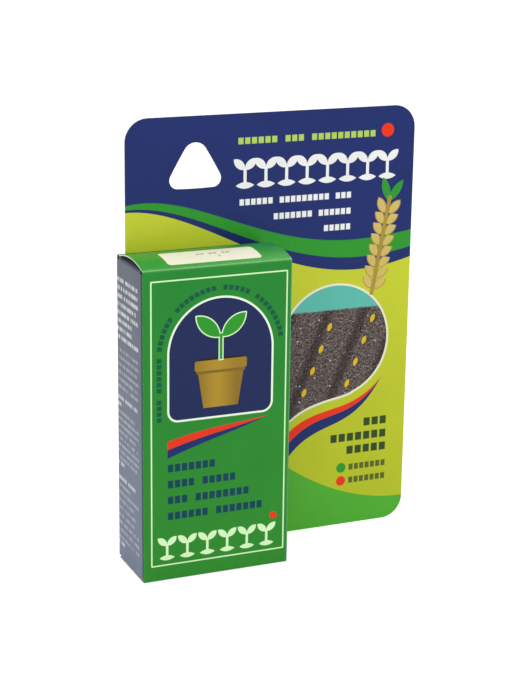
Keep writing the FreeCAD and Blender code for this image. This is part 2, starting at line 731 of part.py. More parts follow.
sower_pieces = {
    "hopper_body": hopper_body(),
    "hopper_cap": hopper_cap(),
    "cap_hinge_pin": cap_hinge_pin(),
    "guide_collar": guide_collar(),
    "outlet_bush": outlet_bush(),
    "green_metering_rod": metering_rod(green_cell),
    "rod_clip": rod_clip(),
    "push_knob": push_knob(),
    "return_spring": return_spring(),
}

pieces = dict(carton_pieces)
pieces.update({name: moved(shape, sower_at) for name, shape in sower_pieces.items()})
pieces["red_metering_rod"] = moved(metering_rod(red_cell), spare_at)

for name, shape in pieces.items():
    shape.exportStep(os.path.join("parts", name + ".step"))
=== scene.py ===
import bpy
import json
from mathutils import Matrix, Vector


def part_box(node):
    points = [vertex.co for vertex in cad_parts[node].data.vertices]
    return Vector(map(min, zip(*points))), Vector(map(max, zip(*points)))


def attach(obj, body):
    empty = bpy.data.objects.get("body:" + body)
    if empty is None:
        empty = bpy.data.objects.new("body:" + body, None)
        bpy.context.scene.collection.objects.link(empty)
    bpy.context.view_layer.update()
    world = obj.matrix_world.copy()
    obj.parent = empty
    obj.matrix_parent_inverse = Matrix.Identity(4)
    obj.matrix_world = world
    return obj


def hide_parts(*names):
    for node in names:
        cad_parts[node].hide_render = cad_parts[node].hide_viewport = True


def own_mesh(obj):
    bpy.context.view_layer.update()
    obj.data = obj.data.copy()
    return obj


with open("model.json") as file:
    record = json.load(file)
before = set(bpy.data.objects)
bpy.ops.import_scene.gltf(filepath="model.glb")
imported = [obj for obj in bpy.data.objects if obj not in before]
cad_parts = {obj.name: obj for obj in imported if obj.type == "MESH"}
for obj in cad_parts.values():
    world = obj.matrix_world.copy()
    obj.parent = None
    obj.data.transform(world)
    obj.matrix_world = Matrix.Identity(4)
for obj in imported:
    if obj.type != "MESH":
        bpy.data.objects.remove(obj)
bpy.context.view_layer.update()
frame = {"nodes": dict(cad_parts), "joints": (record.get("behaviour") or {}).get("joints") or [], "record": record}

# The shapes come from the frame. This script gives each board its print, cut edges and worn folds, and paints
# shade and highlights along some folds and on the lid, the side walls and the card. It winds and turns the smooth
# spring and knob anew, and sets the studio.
"""Looks of a seed sower's retail pack: a printed hang card, a printed folding carton with a bowed
lid, and the moulded sower with its spare rod inside.

The shapes come from the frame. This script gives each board its print, cut edges and worn folds,
winds and turns the smooth spring and knob anew, and sets the studio.
"""

import json
import logging
import math
from dataclasses import dataclass, field
from enum import Enum
from typing import Any, Callable, ClassVar, Mapping, Optional, Sequence, Union

import bmesh
import bpy
import numpy as np
from mathutils import Matrix, Vector

MM = 0.001
WELD = 1e-7                  # corners closer than this, in metres, are one
LOG = logging.getLogger("seed_pack")

Colour = tuple[float, float, float]


def srgb(red: int, green: int, blue: int) -> Colour:
    """Turn screen values of 0 to 255 into a linear colour."""
    shares = (np.array((red, green, blue)) / 255 + 0.055) / 1.055
    return tuple(float(share) for share in shares ** 2.4)


def dimmed(colour: Colour, share: float) -> Colour:
    """The colour with this share of its light."""
    return tuple(share * part for part in colour)


# ---- Shader maths ---------------------------------------------------------------------------


class Signal:
    """A shader value that adds its own Math nodes when it is used in arithmetic."""

    def __init__(self, graph: "Graph", socket: bpy.types.NodeSocket) -> None:
        """Keep the graph and the socket that gives the value."""
        self.graph = graph
        self.socket = socket

    def _math(self, operation: str, *values: "Value", clamp: bool = False) -> "Signal":
        """Add one Math node with these inputs in order, its result kept between 0 and 1 if asked."""
        return self.graph.value("ShaderNodeMath", {"operation": operation, "use_clamp": clamp},
                                dict(enumerate(values)))

    def __add__(self, other: "Value") -> "Signal":
        """self + other."""
        return self._math("ADD", self, other)

    __radd__ = __add__

    def __mul__(self, other: "Value") -> "Signal":
        """self * other."""
        return self._math("MULTIPLY", self, other)

    __rmul__ = __mul__

    def __sub__(self, other: "Value") -> "Signal":
        """self - other."""
        return self._math("SUBTRACT", self, other)

    def __rsub__(self, other: "Value") -> "Signal":
        """other - self."""
        return self._math("SUBTRACT", other, self)

    def __truediv__(self, other: "Value") -> "Signal":
        """self / other."""
        return self._math("DIVIDE", self, other)

    def __neg__(self) -> "Signal":
        """-self."""
        return self._math("MULTIPLY", self, -1.0)

    def abs(self) -> "Signal":
        """The value without its sign."""
        return self._math("ABSOLUTE", self)

    def root(self) -> "Signal":
        """The square root."""
        return self._math("SQRT", self)

    def sine(self) -> "Signal":
        """The sine of the value in radians."""
        return self._math("SINE", self)

    def floor(self) -> "Signal":
        """The whole number below."""
        return self._math("FLOOR", self)

    def fract(self) -> "Signal":
        """What is over the whole number below."""
        return self._math("FRACT", self)

    def least(self, other: "Value") -> "Signal":
        """The smaller of two values."""
        return self._math("MINIMUM", self, other)

    def most(self, other: "Value") -> "Signal":
        """The larger of two values."""
        return self._math("MAXIMUM", self, other)

    def melted(self, other: "Value", width: float) -> "Signal":
        """The smaller of two values, rounded where they differ by less than a width."""
        return self._math("SMOOTH_MIN", self, other, width)

    def below(self, other: "Value") -> "Signal":
        """1 where this value is under the other, else 0."""
        return self._math("LESS_THAN", self, other)

    def above(self, other: "Value") -> "Signal":
        """1 where this value is over the other, else 0."""
        return self._math("GREATER_THAN", self, other)

    def angle(self, across: "Signal") -> "Signal":
        """The direction, in radians, of a point whose height is this value."""
        return self._math("ARCTAN2", self, across)

    def ramp(self, start: float, end: float) -> "Signal":
        """0 where the value is start and 1 where it is end, straight between them, level outside."""
        scale = 1.0 / (end - start)
        return self._math("MULTIPLY_ADD", self, scale, -start * scale, clamp=True)


Value = Union[float, Signal]
Paint = Union[Colour, Signal]


class Graph:
    """The nodes of one material, or of a world."""

    def __init__(self, name: str, world: bool = False) -> None:
        """Start an empty material, or an empty world, of that name."""
        self.owner = (bpy.data.worlds if world else bpy.data.materials).new(name)
        self.owner.use_nodes = True
        self.tree = self.owner.node_tree
        self.tree.nodes.clear()

    def add(self, kind: str, settings: Optional[Mapping[str, Any]] = None,
            inputs: Optional[Mapping[Any, Any]] = None) -> bpy.types.Node:
        """Add a node of any type.

        Args:
            kind: the node's type name.
            settings: its properties, which are set first.
            inputs: numbers, colours, vectors or signals by socket name or number.

        Returns:
            The new node.
        """
        node = self.tree.nodes.new(kind)
        for key, value in (settings or {}).items():
            setattr(node, key, value)
        for key, value in (inputs or {}).items():
            if isinstance(value, Signal):
                self.tree.links.new(value.socket, node.inputs[key])
            else:
                node.inputs[key].default_value = value
        return node

    def value(self, kind: str, settings: Optional[Mapping[str, Any]] = None,
              inputs: Optional[Mapping[Any, Any]] = None, output: Union[int, str] = 0) -> Signal:
        """Add a node and read one of its outputs."""
        return Signal(self, self.add(kind, settings, inputs).outputs[output])

    def place(self) -> tuple[Signal, Signal, Signal]:
        """The point's object coordinates x, y and z, in millimetres."""
        point = self.value("ShaderNodeTexCoord", output="Object")
        scaled = self.value("ShaderNodeVectorMath", {"operation": "SCALE"}, {0: point, "Scale": 1 / MM})
        parts = self.add("ShaderNodeSeparateXYZ", None, {0: scaled})
        return tuple(Signal(self, output) for output in parts.outputs)

    def facing(self, direction: Sequence[float]) -> Signal:
        """How far the surface faces this direction of the piece's own space, from -1 to 1."""
        normal = self.value("ShaderNodeTexCoord", output="Normal")
        return self.value("ShaderNodeVectorMath", {"operation": "DOT_PRODUCT"},
                          {0: normal, 1: tuple(direction)}, "Value")

    def vector(self, x: Value, y: Value, z: Value = 0.0) -> Signal:
        """Join three values into a vector."""
        return self.value("ShaderNodeCombineXYZ", None, {0: x, 1: y, 2: z})

    def noise(self, vector: Signal, scale: float, detail: float = 2.0, rough: float = 0.5) -> Signal:
        """Smooth noise of 0 to 1: scale waves to a unit, and detail finer sets as strong as rough."""
        return self.value("ShaderNodeTexNoise", None, {"Vector": vector, "Scale": scale,
                                                       "Detail": detail, "Roughness": rough})

    def chance(self, vector: Signal) -> Signal:
        """A separate random value of 0 to 1 for each vector."""
        return self.value("ShaderNodeTexWhiteNoise", {"noise_dimensions": "3D"}, {"Vector": vector})

    def mix(self, base: Paint, top: Paint, share: Value) -> Signal:
        """Lay a share of 0 to 1 of the top colour over the base."""
        under, over = ((*paint, 1.0) if isinstance(paint, tuple) else paint for paint in (base, top))
        return self.value("ShaderNodeMix", {"data_type": "RGBA"}, {0: share, 6: under, 7: over}, 2)

    def looked_at(self) -> Signal:
        """1 where the eye looks, straight, by a mirror or through a clear thing, else 0."""
        path = self.add("ShaderNodeLightPath")
        straight, mirrored, through = (Signal(self, path.outputs[f"Is {kind} Ray"])
                                       for kind in ("Camera", "Glossy", "Transmission"))
        return straight.most(mirrored).most(through)

    def end(self, shader: Signal, kind: str = "ShaderNodeOutputMaterial") -> bpy.types.ID:
        """Lead a shader to an output node of this kind and give the nodes' owner."""
        self.add(kind, None, {0: shader})
        return self.owner

    def shade(self, colour: Paint, height: Optional[Signal] = None, **sockets: Any
              ) -> bpy.types.Material:
        """Finish the material with a Principled shader.

        Args:
            colour: its base colour.
            height: the surface's relief in millimetres, or None.
            sockets: other inputs by name, with _ for a space.

        Returns:
            The material.
        """
        values = {key.replace("_", " "): value for key, value in sockets.items()}
        values["Base Color"] = (*colour, 1.0) if isinstance(colour, tuple) else colour
        if height is not None:
            values["Normal"] = self.value("ShaderNodeBump", None,
                                          {"Height": height, "Distance": MM, "Strength": 1.0})
        return self.end(self.value("ShaderNodeBsdfPrincipled", None, values))


# ---- Drawing with signed distances ----------------------------------------------------------


@dataclass(frozen=True)
class Sheet:
    """A flat printing surface: two coordinates, u across and v up, in millimetres."""

    graph: Graph
    u: Signal
    v: Signal

    def seen_from(self, centre_u: float, centre_v: float, degrees: float = 0.0) -> "Sheet":
        """Move the origin to a point and turn the axes.

        Args:
            centre_u: the new origin along u.
            centre_v: the new origin along v.
            degrees: the turn, anticlockwise.

        Returns:
            The same surface in the new coordinates.
        """
        u, v = self.u - centre_u, self.v - centre_v
        if not degrees:
            return Sheet(self.graph, u, v)
        cosine, sine = math.cos(math.radians(degrees)), math.sin(math.radians(degrees))
        return Sheet(self.graph, u * cosine + v * sine, v * cosine - u * sine)

    def mirrored(self) -> "Sheet":
        """The surface folded at u = 0, so that a shape drawn at the right is on both sides."""
        return Sheet(self.graph, self.u.abs(), self.v)

    def doubled(self) -> "Sheet":
        """The surface folded at v = 0, so that a shape drawn above is below, too."""
        return Sheet(self.graph, self.u, self.v.abs())

    def cells(self, pitch: float, count: int) -> "Sheet":
        """Cut the surface into cells along u, from u = 0, each with its origin in its middle."""
        cell = (self.u / pitch).floor().most(0.0).least(count - 1.0)
        return Sheet(self.graph, self.u - (cell + 0.5) * pitch, self.v)

    def disc(self, centre_u: float, centre_v: float, radius: float) -> Signal:
        """Signed distance to a disc: the way to its centre, less its radius."""
        u, v = self.u - centre_u, self.v - centre_v
        return (u * u + v * v).root() - radius

    def bar(self, left: float, bottom: float, right: float, top: float, corner: float = 0.0) -> Signal:
        """Signed distance to a rectangle with round corners.

        Args:
            left: its left side.
            bottom: its lower side.
            right: its right side.
            top: its upper side.
            corner: the corners' radius.

        Returns:
            The distance, negative inside.
        """
        over_u = (self.u - (left + right) / 2).abs() - ((right - left) / 2 - corner)
        over_v = (self.v - (top + bottom) / 2).abs() - ((top - bottom) / 2 - corner)
        if not corner:
            return over_u.most(over_v)
        outside_u, outside_v = over_u.most(0.0), over_v.most(0.0)
        outside = (outside_u * outside_u + outside_v * outside_v).root()
        return outside + over_u.most(over_v).least(0.0) - corner

    def over(self, terms: Sequence[float]) -> Signal:
        """Height over a curve.

        With s as u in decimetres, the curve is at terms[0] + terms[1] s + terms[2] s^2 and so on.

        Args:
            terms: the curve's terms.

        Returns:
            The height, negative under the curve.
        """
        share = self.u * 0.01
        level: Value = terms[-1]
        for term in reversed(terms[:-1]):
            level = share * level + term
        return self.v - level

    def between(self, upper: Sequence[float], lower: Sequence[float]) -> Signal:
        """Signed distance, up or down, to the band between two curves of over()."""
        return self.over(upper).most(-self.over(lower))

    def leaf(self, centre_u: float, centre_v: float, length: float, width: float, degrees: float
             ) -> Signal:
        """Signed distance to a pointed leaf, which is where two equal discs overlap.

        Args:
            centre_u: its middle along u.
            centre_v: its middle along v.
            length: tip to tip.
            width: across its middle.
            degrees: its turn from lying along u.

        Returns:
            The distance, negative inside.
        """
        radius = (length * length + width * width) / (4 * width)
        view = self.seen_from(centre_u, centre_v, degrees)
        rise = view.v.abs() + (radius - width / 2)
        return (view.u * view.u + rise * rise).root() - radius

    def seedlings(self, left: float, level: float, pitch: float, count: int, size: float) -> Signal:
        """Signed distance to a row of seedlings: two leaves, a stem and a mound each.

        Args:
            left: where the row starts.
            level: the height of the seedlings' middles.
            pitch: the way from one to the next.
            count: how many there are.
            size: a seedling's height, of which all its parts are shares.

        Returns:
            The distance, negative inside.
        """
        half = self.seen_from(left, level).cells(pitch, count).mirrored()
        leaves = half.leaf(0.185 * size, 0.25 * size, 0.50 * size, 0.25 * size, 42)
        stem = (half.u - size * 0.05).most((half.v + size * 0.14).abs() - size * 0.26)
        mound = half.leaf(0.0, -0.40 * size, 0.60 * size, 0.20 * size, 0)
        return leaves.least(stem).least(mound)


def inked(distance: Signal, soft: float = 0.12) -> Signal:
    """The ink mask of a signed distance: 1 inside and 0 outside, with a soft edge of this width."""
    return distance.ramp(soft / 2, -soft / 2)


def outlined(distance: Signal, width: float) -> Signal:
    """The mask of a line of this width along a shape's outline."""
    return inked(distance.abs() - width / 2)


@dataclass(frozen=True)
class Dashes:
    """A line of plain dashes where a pack has a line of text: words of so many letter-wide cells."""

    dash_share: ClassVar[float] = 0.76           # how much of its cell a dash takes up

    left: float
    level: float
    words: tuple[int, ...]
    height: float
    letter: float

    @classmethod
    def ending_at(cls, right: float, level: float, words: tuple[int, ...], height: float, letter: float
                  ) -> "Dashes":
        """Set a line by the place where its last word ends."""
        return cls(right - letter * (sum(words) + len(words) - 1), level, words, height, letter)

    def mask(self, sheet: Sheet) -> Signal:
        """Draw the line: each word's cells hold one dash each, and one cell stays free between words.

        Args:
            sheet: the printing surface.

        Returns:
            The ink mask.
        """
        across = (sheet.u - self.left) / self.letter
        dash = ((across.fract() - 0.5).abs() - self.dash_share / 2) * self.letter
        dash = dash.most((sheet.v - self.level).abs() - self.height / 2)
        start, words = 0, None
        for count in self.words:
            word = (across - (start + count / 2)).abs() - count / 2
            words = word if words is None else words.least(word)
            start += count + 1
        return inked(dash.most(words * self.letter), 0.2)


@dataclass(frozen=True)
class Paragraph:
    """Rows of fine dashes, broken into words, that end unevenly."""

    gap_share: ClassVar[float] = 0.27            # how many of the cells stay free
    ragged: ClassVar[float] = 0.40               # how far in the shortest row ends, as a share

    left: float
    right: float
    top: float
    pitch: float
    rows: int
    height: float
    letter: float
    seed: float

    def mask(self, sheet: Sheet) -> Signal:
        """Draw the rows.

        row = floor((top - v) / pitch) and cell = floor((u - left) / letter) number the dashes, and
        random values for them decide the gaps and the rows' ends.

        Args:
            sheet: the printing surface.

        Returns:
            The ink mask.
        """
        graph = sheet.graph
        down = (self.top - sheet.v) / self.pitch
        row = down.floor()
        cell = ((sheet.u - self.left) / self.letter).floor()
        gap = graph.chance(graph.vector(cell, row, self.seed)).below(self.gap_share)
        luck = graph.chance(graph.vector(row, self.seed, 3.0))
        end = self.right - luck.ramp(0.5, 1.0) * ((self.right - self.left) * self.ragged)
        across = (sheet.u - self.left).least(end - sheet.u)
        height = ((down.fract() - 0.5).abs() * self.pitch) - self.height / 2
        within = across.above(0.0) * row.above(-0.5) * row.below(self.rows - 0.5)
        return inked(height, 0.3) * within * (1.0 - gap)


class Artwork:
    """Inks laid over one another on a sheet."""

    def __init__(self, sheet: Sheet, ground: Paint) -> None:
        """Start with the ground colour."""
        self.sheet = sheet
        self.colour: Paint = ground

    def lay(self, ink: Paint, mask: Signal) -> None:
        """Print an ink where the mask is 1."""
        self.colour = self.sheet.graph.mix(self.colour, ink, mask)

    def fill(self, ink: Paint, distance: Signal) -> None:
        """Print an ink inside a shape, given by the signed distance to it."""
        self.lay(ink, inked(distance))


# ---- Inks -----------------------------------------------------------------------------------


class Ink:
    """The printing inks and papers, by plain colour names, and the colours of painted light and shade."""

    NAVY = srgb(28, 44, 105)
    BAND_GREEN = srgb(46, 150, 44)
    LIME = srgb(182, 193, 40)
    # painted light: the card's lime is lighter towards the top
    LIME_PAINTED_LIGHT = srgb(199, 207, 53)
    LEAF_GREEN = srgb(80, 172, 50)
    CARTON_GREEN = srgb(36, 133, 48)
    CARTON_GREEN_DEEP = srgb(46, 136, 42)
    LID_GREEN = srgb(56, 150, 52)
    # painted highlight: a paler green near the lid's front fold
    LID_PAINTED_HIGHLIGHT = srgb(122, 190, 118)
    # painted shade: dark green on the lid towards its back, and painted shadow lines along the lid's back edge,
    # the tuck fold and the back wall's top
    LID_PAINTED_SHADE = srgb(30, 112, 78)
    PALE = srgb(216, 250, 196)
    PALE_BRIGHT = srgb(236, 250, 226)
    CREAM = srgb(232, 230, 204)
    WHITE = srgb(236, 238, 236)
    WINDOW = srgb(28, 40, 84)
    GOLD = srgb(176, 142, 44)
    GOLD_DEEP = srgb(128, 102, 34)
    STRAW = srgb(206, 184, 104)
    STRAW_DEEP = srgb(170, 142, 60)
    RED = srgb(232, 54, 24)
    SKY = srgb(92, 184, 168)
    SOIL = srgb(40, 30, 32)
    SOIL_PALE = srgb(142, 126, 120)
    SOIL_SPECK = srgb(206, 198, 190)
    SEED_GOLD = srgb(222, 180, 40)
    TEXT_DARK = srgb(50, 72, 36)
    TEXT_GREEN = srgb(10, 88, 60)
    TEXT_BLUE = srgb(6, 64, 82)
    TEXT_LIME = srgb(176, 206, 92)
    SLATE = srgb(68, 80, 102)
    # the side walls' lower slate; they darken towards SLATE at the top as painted shade under the lid
    SLATE_LIGHT = srgb(94, 109, 140)
    # painted shade: dark teal along folds of the side walls, the back wall and the dust flaps
    TEAL_PAINTED_SHADE = srgb(34, 66, 70)
    # painted highlight: a pale blue-green line along the front's right fold
    EDGE_PAINTED_HIGHLIGHT = srgb(120, 176, 160)
    STAMP = srgb(96, 96, 92)
    PAPER = srgb(250, 252, 232)
    BOARD_GREY = srgb(222, 220, 208)
    CARD_BACK = srgb(208, 206, 198)


# ---- Boards ---------------------------------------------------------------------------------


class Face(Enum):
    """The direction in which a board's printed side faces."""

    FRONT = (0.0, -1.0, 0.0)
    BACK = (0.0, 1.0, 0.0)
    LEFT = (-1.0, 0.0, 0.0)
    RIGHT = (1.0, 0.0, 0.0)
    TOP = (0.0, 0.0, 1.0)
    BOTTOM = (0.0, 0.0, -1.0)


@dataclass(frozen=True)
class Crease:
    """A fold, at one level along one axis, where the ink wears, another ink runs over, or painted shade
    or a painted highlight lies along it.

    even and patchy are the shares of the fold's ink all along it and in patches, reach is how far
    it goes to each side, and inside is its share on the board's plain side, used for painted shade.
    """

    axis: int
    level: float
    ink: Colour = Ink.PALE
    even: float = 0.22
    patchy: float = 0.22
    reach: float = 0.55
    inside: float = 0.0


@dataclass(frozen=True)
class BoardFinish:
    """Printed board: varnished ink on one side, plain paper on the other, fibres where it is cut, and wear,
    painted shade and painted highlights along its folds.
    """

    name: str
    face: Face
    art: Callable[[Sheet], Paint]
    creases: tuple[Crease, ...] = ()
    plain: Colour = Ink.BOARD_GREY
    gloss: float = 0.30
    swell: float = 0.30

    def _sheet(self, graph: Graph, place: tuple[Signal, Signal, Signal]) -> Sheet:
        """Read the printed side as a flat sheet, as someone who looks at it sees it.

        Args:
            graph: the material's nodes.
            place: the point in millimetres.

        Returns:
            The sheet, with u to the viewer's right and v up or inward.
        """
        x, y, z = place
        across = {Face.FRONT: x, Face.LEFT: -y, Face.RIGHT: y, Face.BACK: -x}.get(self.face, x)
        up = y if self.face in (Face.TOP, Face.BOTTOM) else z
        return Sheet(graph, across, up)

    def material(self) -> bpy.types.Material:
        """Build the board's material.

        How far the surface faces the printed side's way tells the printed side, the plain one and
        the cut edge between them apart. Near a fold the print runs round the edge, and each crease lays
        its ink along the fold: wear, painted shade or a painted highlight.

        Returns:
            The material.
        """
        graph = Graph(self.name)
        place = graph.place()
        facing, edge, side = graph.facing(self.face.value), 0.30, 0.42
        printed, inner = facing.ramp(edge, side), facing.ramp(-edge, -side)
        point = graph.vector(*place)
        fibre = graph.noise(point, 2.2, 4.0, 0.7)
        grain = graph.noise(point, 1.3, 5.0, 0.75)
        tone = graph.noise(point, 0.045, 2.0)
        ink = self.art(self._sheet(graph, place))
        ink = graph.mix(ink, (0.0, 0.0, 0.0), tone.ramp(0.35, 0.70) * 0.06)
        plain = graph.mix(self.plain, dimmed(self.plain, 0.88), fibre.ramp(0.42, 0.72))
        cut = graph.mix(Ink.PAPER, dimmed(Ink.PAPER, 0.92), grain.ramp(0.40, 0.65))
        worn: Value = 0.0
        for crease in self.creases:
            away = (place[crease.axis] - crease.level).abs()
            fold_wear_and_painted_light = away.ramp(crease.reach, crease.reach * 0.2)
            fold_wear_and_painted_light = fold_wear_and_painted_light * (grain.ramp(0.42, 0.72) * crease.patchy + crease.even)
            worn = fold_wear_and_painted_light.most(worn)
            cut = graph.mix(cut, ink, away.ramp(1.0, 0.8))
            # painted shade on the plain side near the fold
            if crease.inside:
                plain = graph.mix(plain, crease.ink, away.ramp(3.0, 1.8) * crease.inside)
            # each crease's ink along its fold: wear, painted shade or a painted highlight
            ink = graph.mix(ink, crease.ink, fold_wear_and_painted_light)
        colour = graph.mix(graph.mix(cut, plain, inner), ink, printed)
        smear = graph.noise(point, 0.12, 3.0, 0.6)
        rough = printed * (self.gloss - 0.90) + smear * 0.12 + worn * 0.3 + 0.84
        broad = graph.noise(point, 0.035, 1.0)
        peel = graph.noise(point, 0.8, 2.0)
        relief = (broad * self.swell + peel * 0.012) * printed + fibre * 0.03 * (1.0 - printed)
        return graph.shade(colour, relief, Roughness=rough, Coat_Weight=printed * 0.04,
                           Coat_Roughness=0.2, Specular_IOR_Level=0.10)


@dataclass(frozen=True)
class Moulding:
    """A moulded plastic: its colour flows a little and its skin has faint flow marks."""

    name: str
    colour: Colour
    rough: float = 0.30
    clear: float = 0.0
    soft: float = 0.0

    def material(self) -> bpy.types.Material:
        """Build the plastic's material."""
        graph = Graph(self.name)
        x, y, z = graph.place()
        flow = graph.noise(graph.vector(x, y, z * 0.25), 0.22, 3.0)
        fine = graph.noise(graph.vector(x, y, z), 3.5, 3.0, 0.6)
        colour = graph.mix(self.colour, dimmed(self.colour, 0.90), flow.ramp(0.35, 0.72))
        rough = flow * 0.10 + fine * 0.06 + (self.rough - 0.06)
        return graph.shade(colour, fine * 0.006 + flow * 0.05, Roughness=rough, IOR=1.49,
                           Transmission_Weight=self.clear, Subsurface_Weight=self.soft,
                           Subsurface_Radius=(0.6, 0.5, 0.3), Subsurface_Scale=2 * MM)


@dataclass(frozen=True)
class DrawnSteel:
    """Bright drawn wire and pin steel, with fine marks along and across."""

    name: str = "drawn_steel"
    rough: float = 0.26

    def material(self) -> bpy.types.Material:
        """Build the steel's material."""
        graph = Graph(self.name)
        x, y, z = graph.place()
        marks = graph.noise(graph.vector(x, y * 0.3, z), 4.0, 3.0, 0.7)
        dull = graph.noise(graph.vector(x, y, z), 0.5, 3.0)
        colour = graph.mix(srgb(196, 197, 200), srgb(150, 148, 146), dull.ramp(0.45, 0.75))
        return graph.shade(colour, marks * 0.008, Metallic=1.0, Roughness=marks * 0.14 + self.rough)


@dataclass(frozen=True)
class HotGlue:
    """Cloudy hot-melt glue."""

    name: str = "hot_glue"

    def material(self) -> bpy.types.Material:
        """Build the glue's material."""
        graph = Graph(self.name)
        point = graph.vector(*graph.place())
        cloud = graph.noise(point, 0.4, 4.0, 0.6)
        colour = graph.mix(srgb(226, 216, 188), srgb(200, 186, 150), cloud.ramp(0.35, 0.70))
        return graph.shade(colour, cloud * 0.2, Roughness=cloud * 0.2 + 0.35,
                           Subsurface_Weight=0.3, Subsurface_Scale=MM)


# ---- Meshes ---------------------------------------------------------------------------------


def dressed(node: str, material: bpy.types.Material) -> bpy.types.Object:
    """Stand a smooth copy in for a CAD node: its triangles joined, its corners kept sharp.

    Args:
        node: the CAD node's name.
        material: its finish.

    Returns:
        The piece.
    """
    source = frame["nodes"][node].data
    corners = np.empty(len(source.vertices) * 3)
    source.vertices.foreach_get("co", corners)
    steps = np.round(corners.reshape(-1, 3) / WELD).astype(np.int64)
    places, owners = np.unique(steps, axis=0, return_inverse=True)
    loops = np.empty(len(source.loops), dtype=np.int32)
    source.loops.foreach_get("vertex_index", loops)
    triangles = owners.reshape(-1)[loops].reshape(-1, 3)
    whole = (triangles != np.roll(triangles, 1, axis=1)).all(axis=1)
    piece = faces_mesh(node + "_skin", places * WELD, triangles[whole].tolist())
    return placed(piece, node, material)


def placed(piece: bpy.types.Object, node: str, material: bpy.types.Material
           ) -> bpy.types.Object:
    """Let a piece stand for its node and move with it.

    Args:
        piece: the new piece.
        node: the CAD node's name.
        material: its finish.

    Returns:
        The piece.
    """
    bodies = frame["record"]["behaviour"]["bodies"]
    piece.data.materials.append(material)
    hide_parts(node)
    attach(piece, next(body for body, nodes in bodies.items() if node in nodes))
    LOG.info("%s: %d faces, %s", piece.name, len(piece.data.polygons), material.name)
    return piece


def faces_mesh(name: str, points: np.ndarray, faces: list[list[int]], crease_angle: float = 35.0,
               outward: bool = False) -> bpy.types.Object:
    """Make an object of points and faces, shaded smooth but for its sharp edges.

    Args:
        name: the object's name.
        points: places in metres, one row each.
        faces: lists of point numbers.
        crease_angle: faces that meet at more than this many degrees keep a sharp edge.
        outward: whether the faces still have to be turned outward.

    Returns:
        The object.
    """
    mesh = bpy.data.meshes.new(name)
    mesh.from_pydata(points.tolist(), [], faces)
    if outward:
        work = bmesh.new()
        work.from_mesh(mesh)
        bmesh.ops.recalc_face_normals(work, faces=work.faces)
        work.to_mesh(mesh)
        work.free()
    mesh.polygons.foreach_set("use_smooth", np.ones(len(mesh.polygons), dtype=bool))
    mesh.set_sharp_from_angle(angle=math.radians(crease_angle))
    piece = bpy.data.objects.new(name, mesh)
    bpy.context.scene.collection.objects.link(piece)
    return piece


def grid_faces(rows: int, columns: int, closed: bool) -> np.ndarray:
    """Number the quads of a grid of points whose last column joins its first.

    Point (i, j) has the number i * columns + j, and a quad joins (i, j), (i+1, j), (i+1, j+1) and
    (i, j+1).

    Args:
        rows: the number of rows.
        columns: the number of columns.
        closed: whether the last row joins the first, too.

    Returns:
        The quads, one row each.
    """
    i, j = np.arange(rows if closed else rows - 1)[:, None], np.arange(columns)[None, :]
    here, below, right = i * columns, (i + 1) % rows * columns, (j + 1) % columns
    return np.stack([here + j, below + j, below + right, here + right], axis=-1).reshape(-1, 4)


@dataclass(frozen=True)
class Coil:
    """A round wire wound on a helix, with closed end turns that lie flat."""

    centre: tuple[float, float]
    bottom: float
    top: float
    radius: float
    wire: float
    turns: float
    flat_turns: float = 0.8
    flat_rise: float = 1.02
    gentle: float = 0.35
    around: int = 20
    steps_a_turn: int = 56

    def mesh(self, name: str) -> bpy.types.Object:
        """Wind the coil.

        The wire's middle is (R cos t, R sin t, h(t)). In the end turns h rises by flat_rise wires a
        turn, so that they lie on one another, and between them it makes up the rest, of which the
        gentle share starts and stops softly. The wire's round section stands in the plane of the
        outward direction and the direction across the path.

        Args:
            name: the object's name.

        Returns:
            The coil.
        """
        around, steps = self.around, int(self.steps_a_turn * self.turns)
        share = np.linspace(0.0, 1.0, steps)
        angle = share * self.turns * 2 * math.pi
        end = self.flat_turns / self.turns
        live = np.clip((share - end) / (1 - 2 * end), 0.0, 1.0)
        eased = live * live * (3 - 2 * live) * self.gentle + live * (1 - self.gentle)
        lie = self.wire * self.flat_rise * self.flat_turns
        climb = self.top - self.bottom - self.wire - 2 * lie
        height = (self.bottom + self.wire / 2 + np.clip(share / end, 0, 1) * lie + eased * climb
                  + np.clip((share - 1 + end) / end, 0, 1) * lie)
        outward = np.stack([np.cos(angle), np.sin(angle), np.zeros(steps)], axis=1)
        middle = outward * self.radius + np.stack([np.zeros(steps), np.zeros(steps), height], axis=1)
        along = np.gradient(middle, axis=0)
        along /= np.linalg.norm(along, axis=1, keepdims=True)
        across = np.cross(along, outward)
        turn = np.arange(around) / around * 2 * math.pi
        section = (np.cos(turn)[None, :, None] * outward[:, None, :]
                   + np.sin(turn)[None, :, None] * across[:, None, :])
        rings = middle[:, None, :] + section * self.wire / 2
        points = rings.reshape(-1, 3) + np.array([*self.centre, 0.0])
        faces = grid_faces(steps, around, closed=False).tolist()
        faces += [list(range(around)), list(range((steps - 1) * around, steps * around))]
        return faces_mesh(name, points * MM, faces, crease_angle=40.0, outward=True)


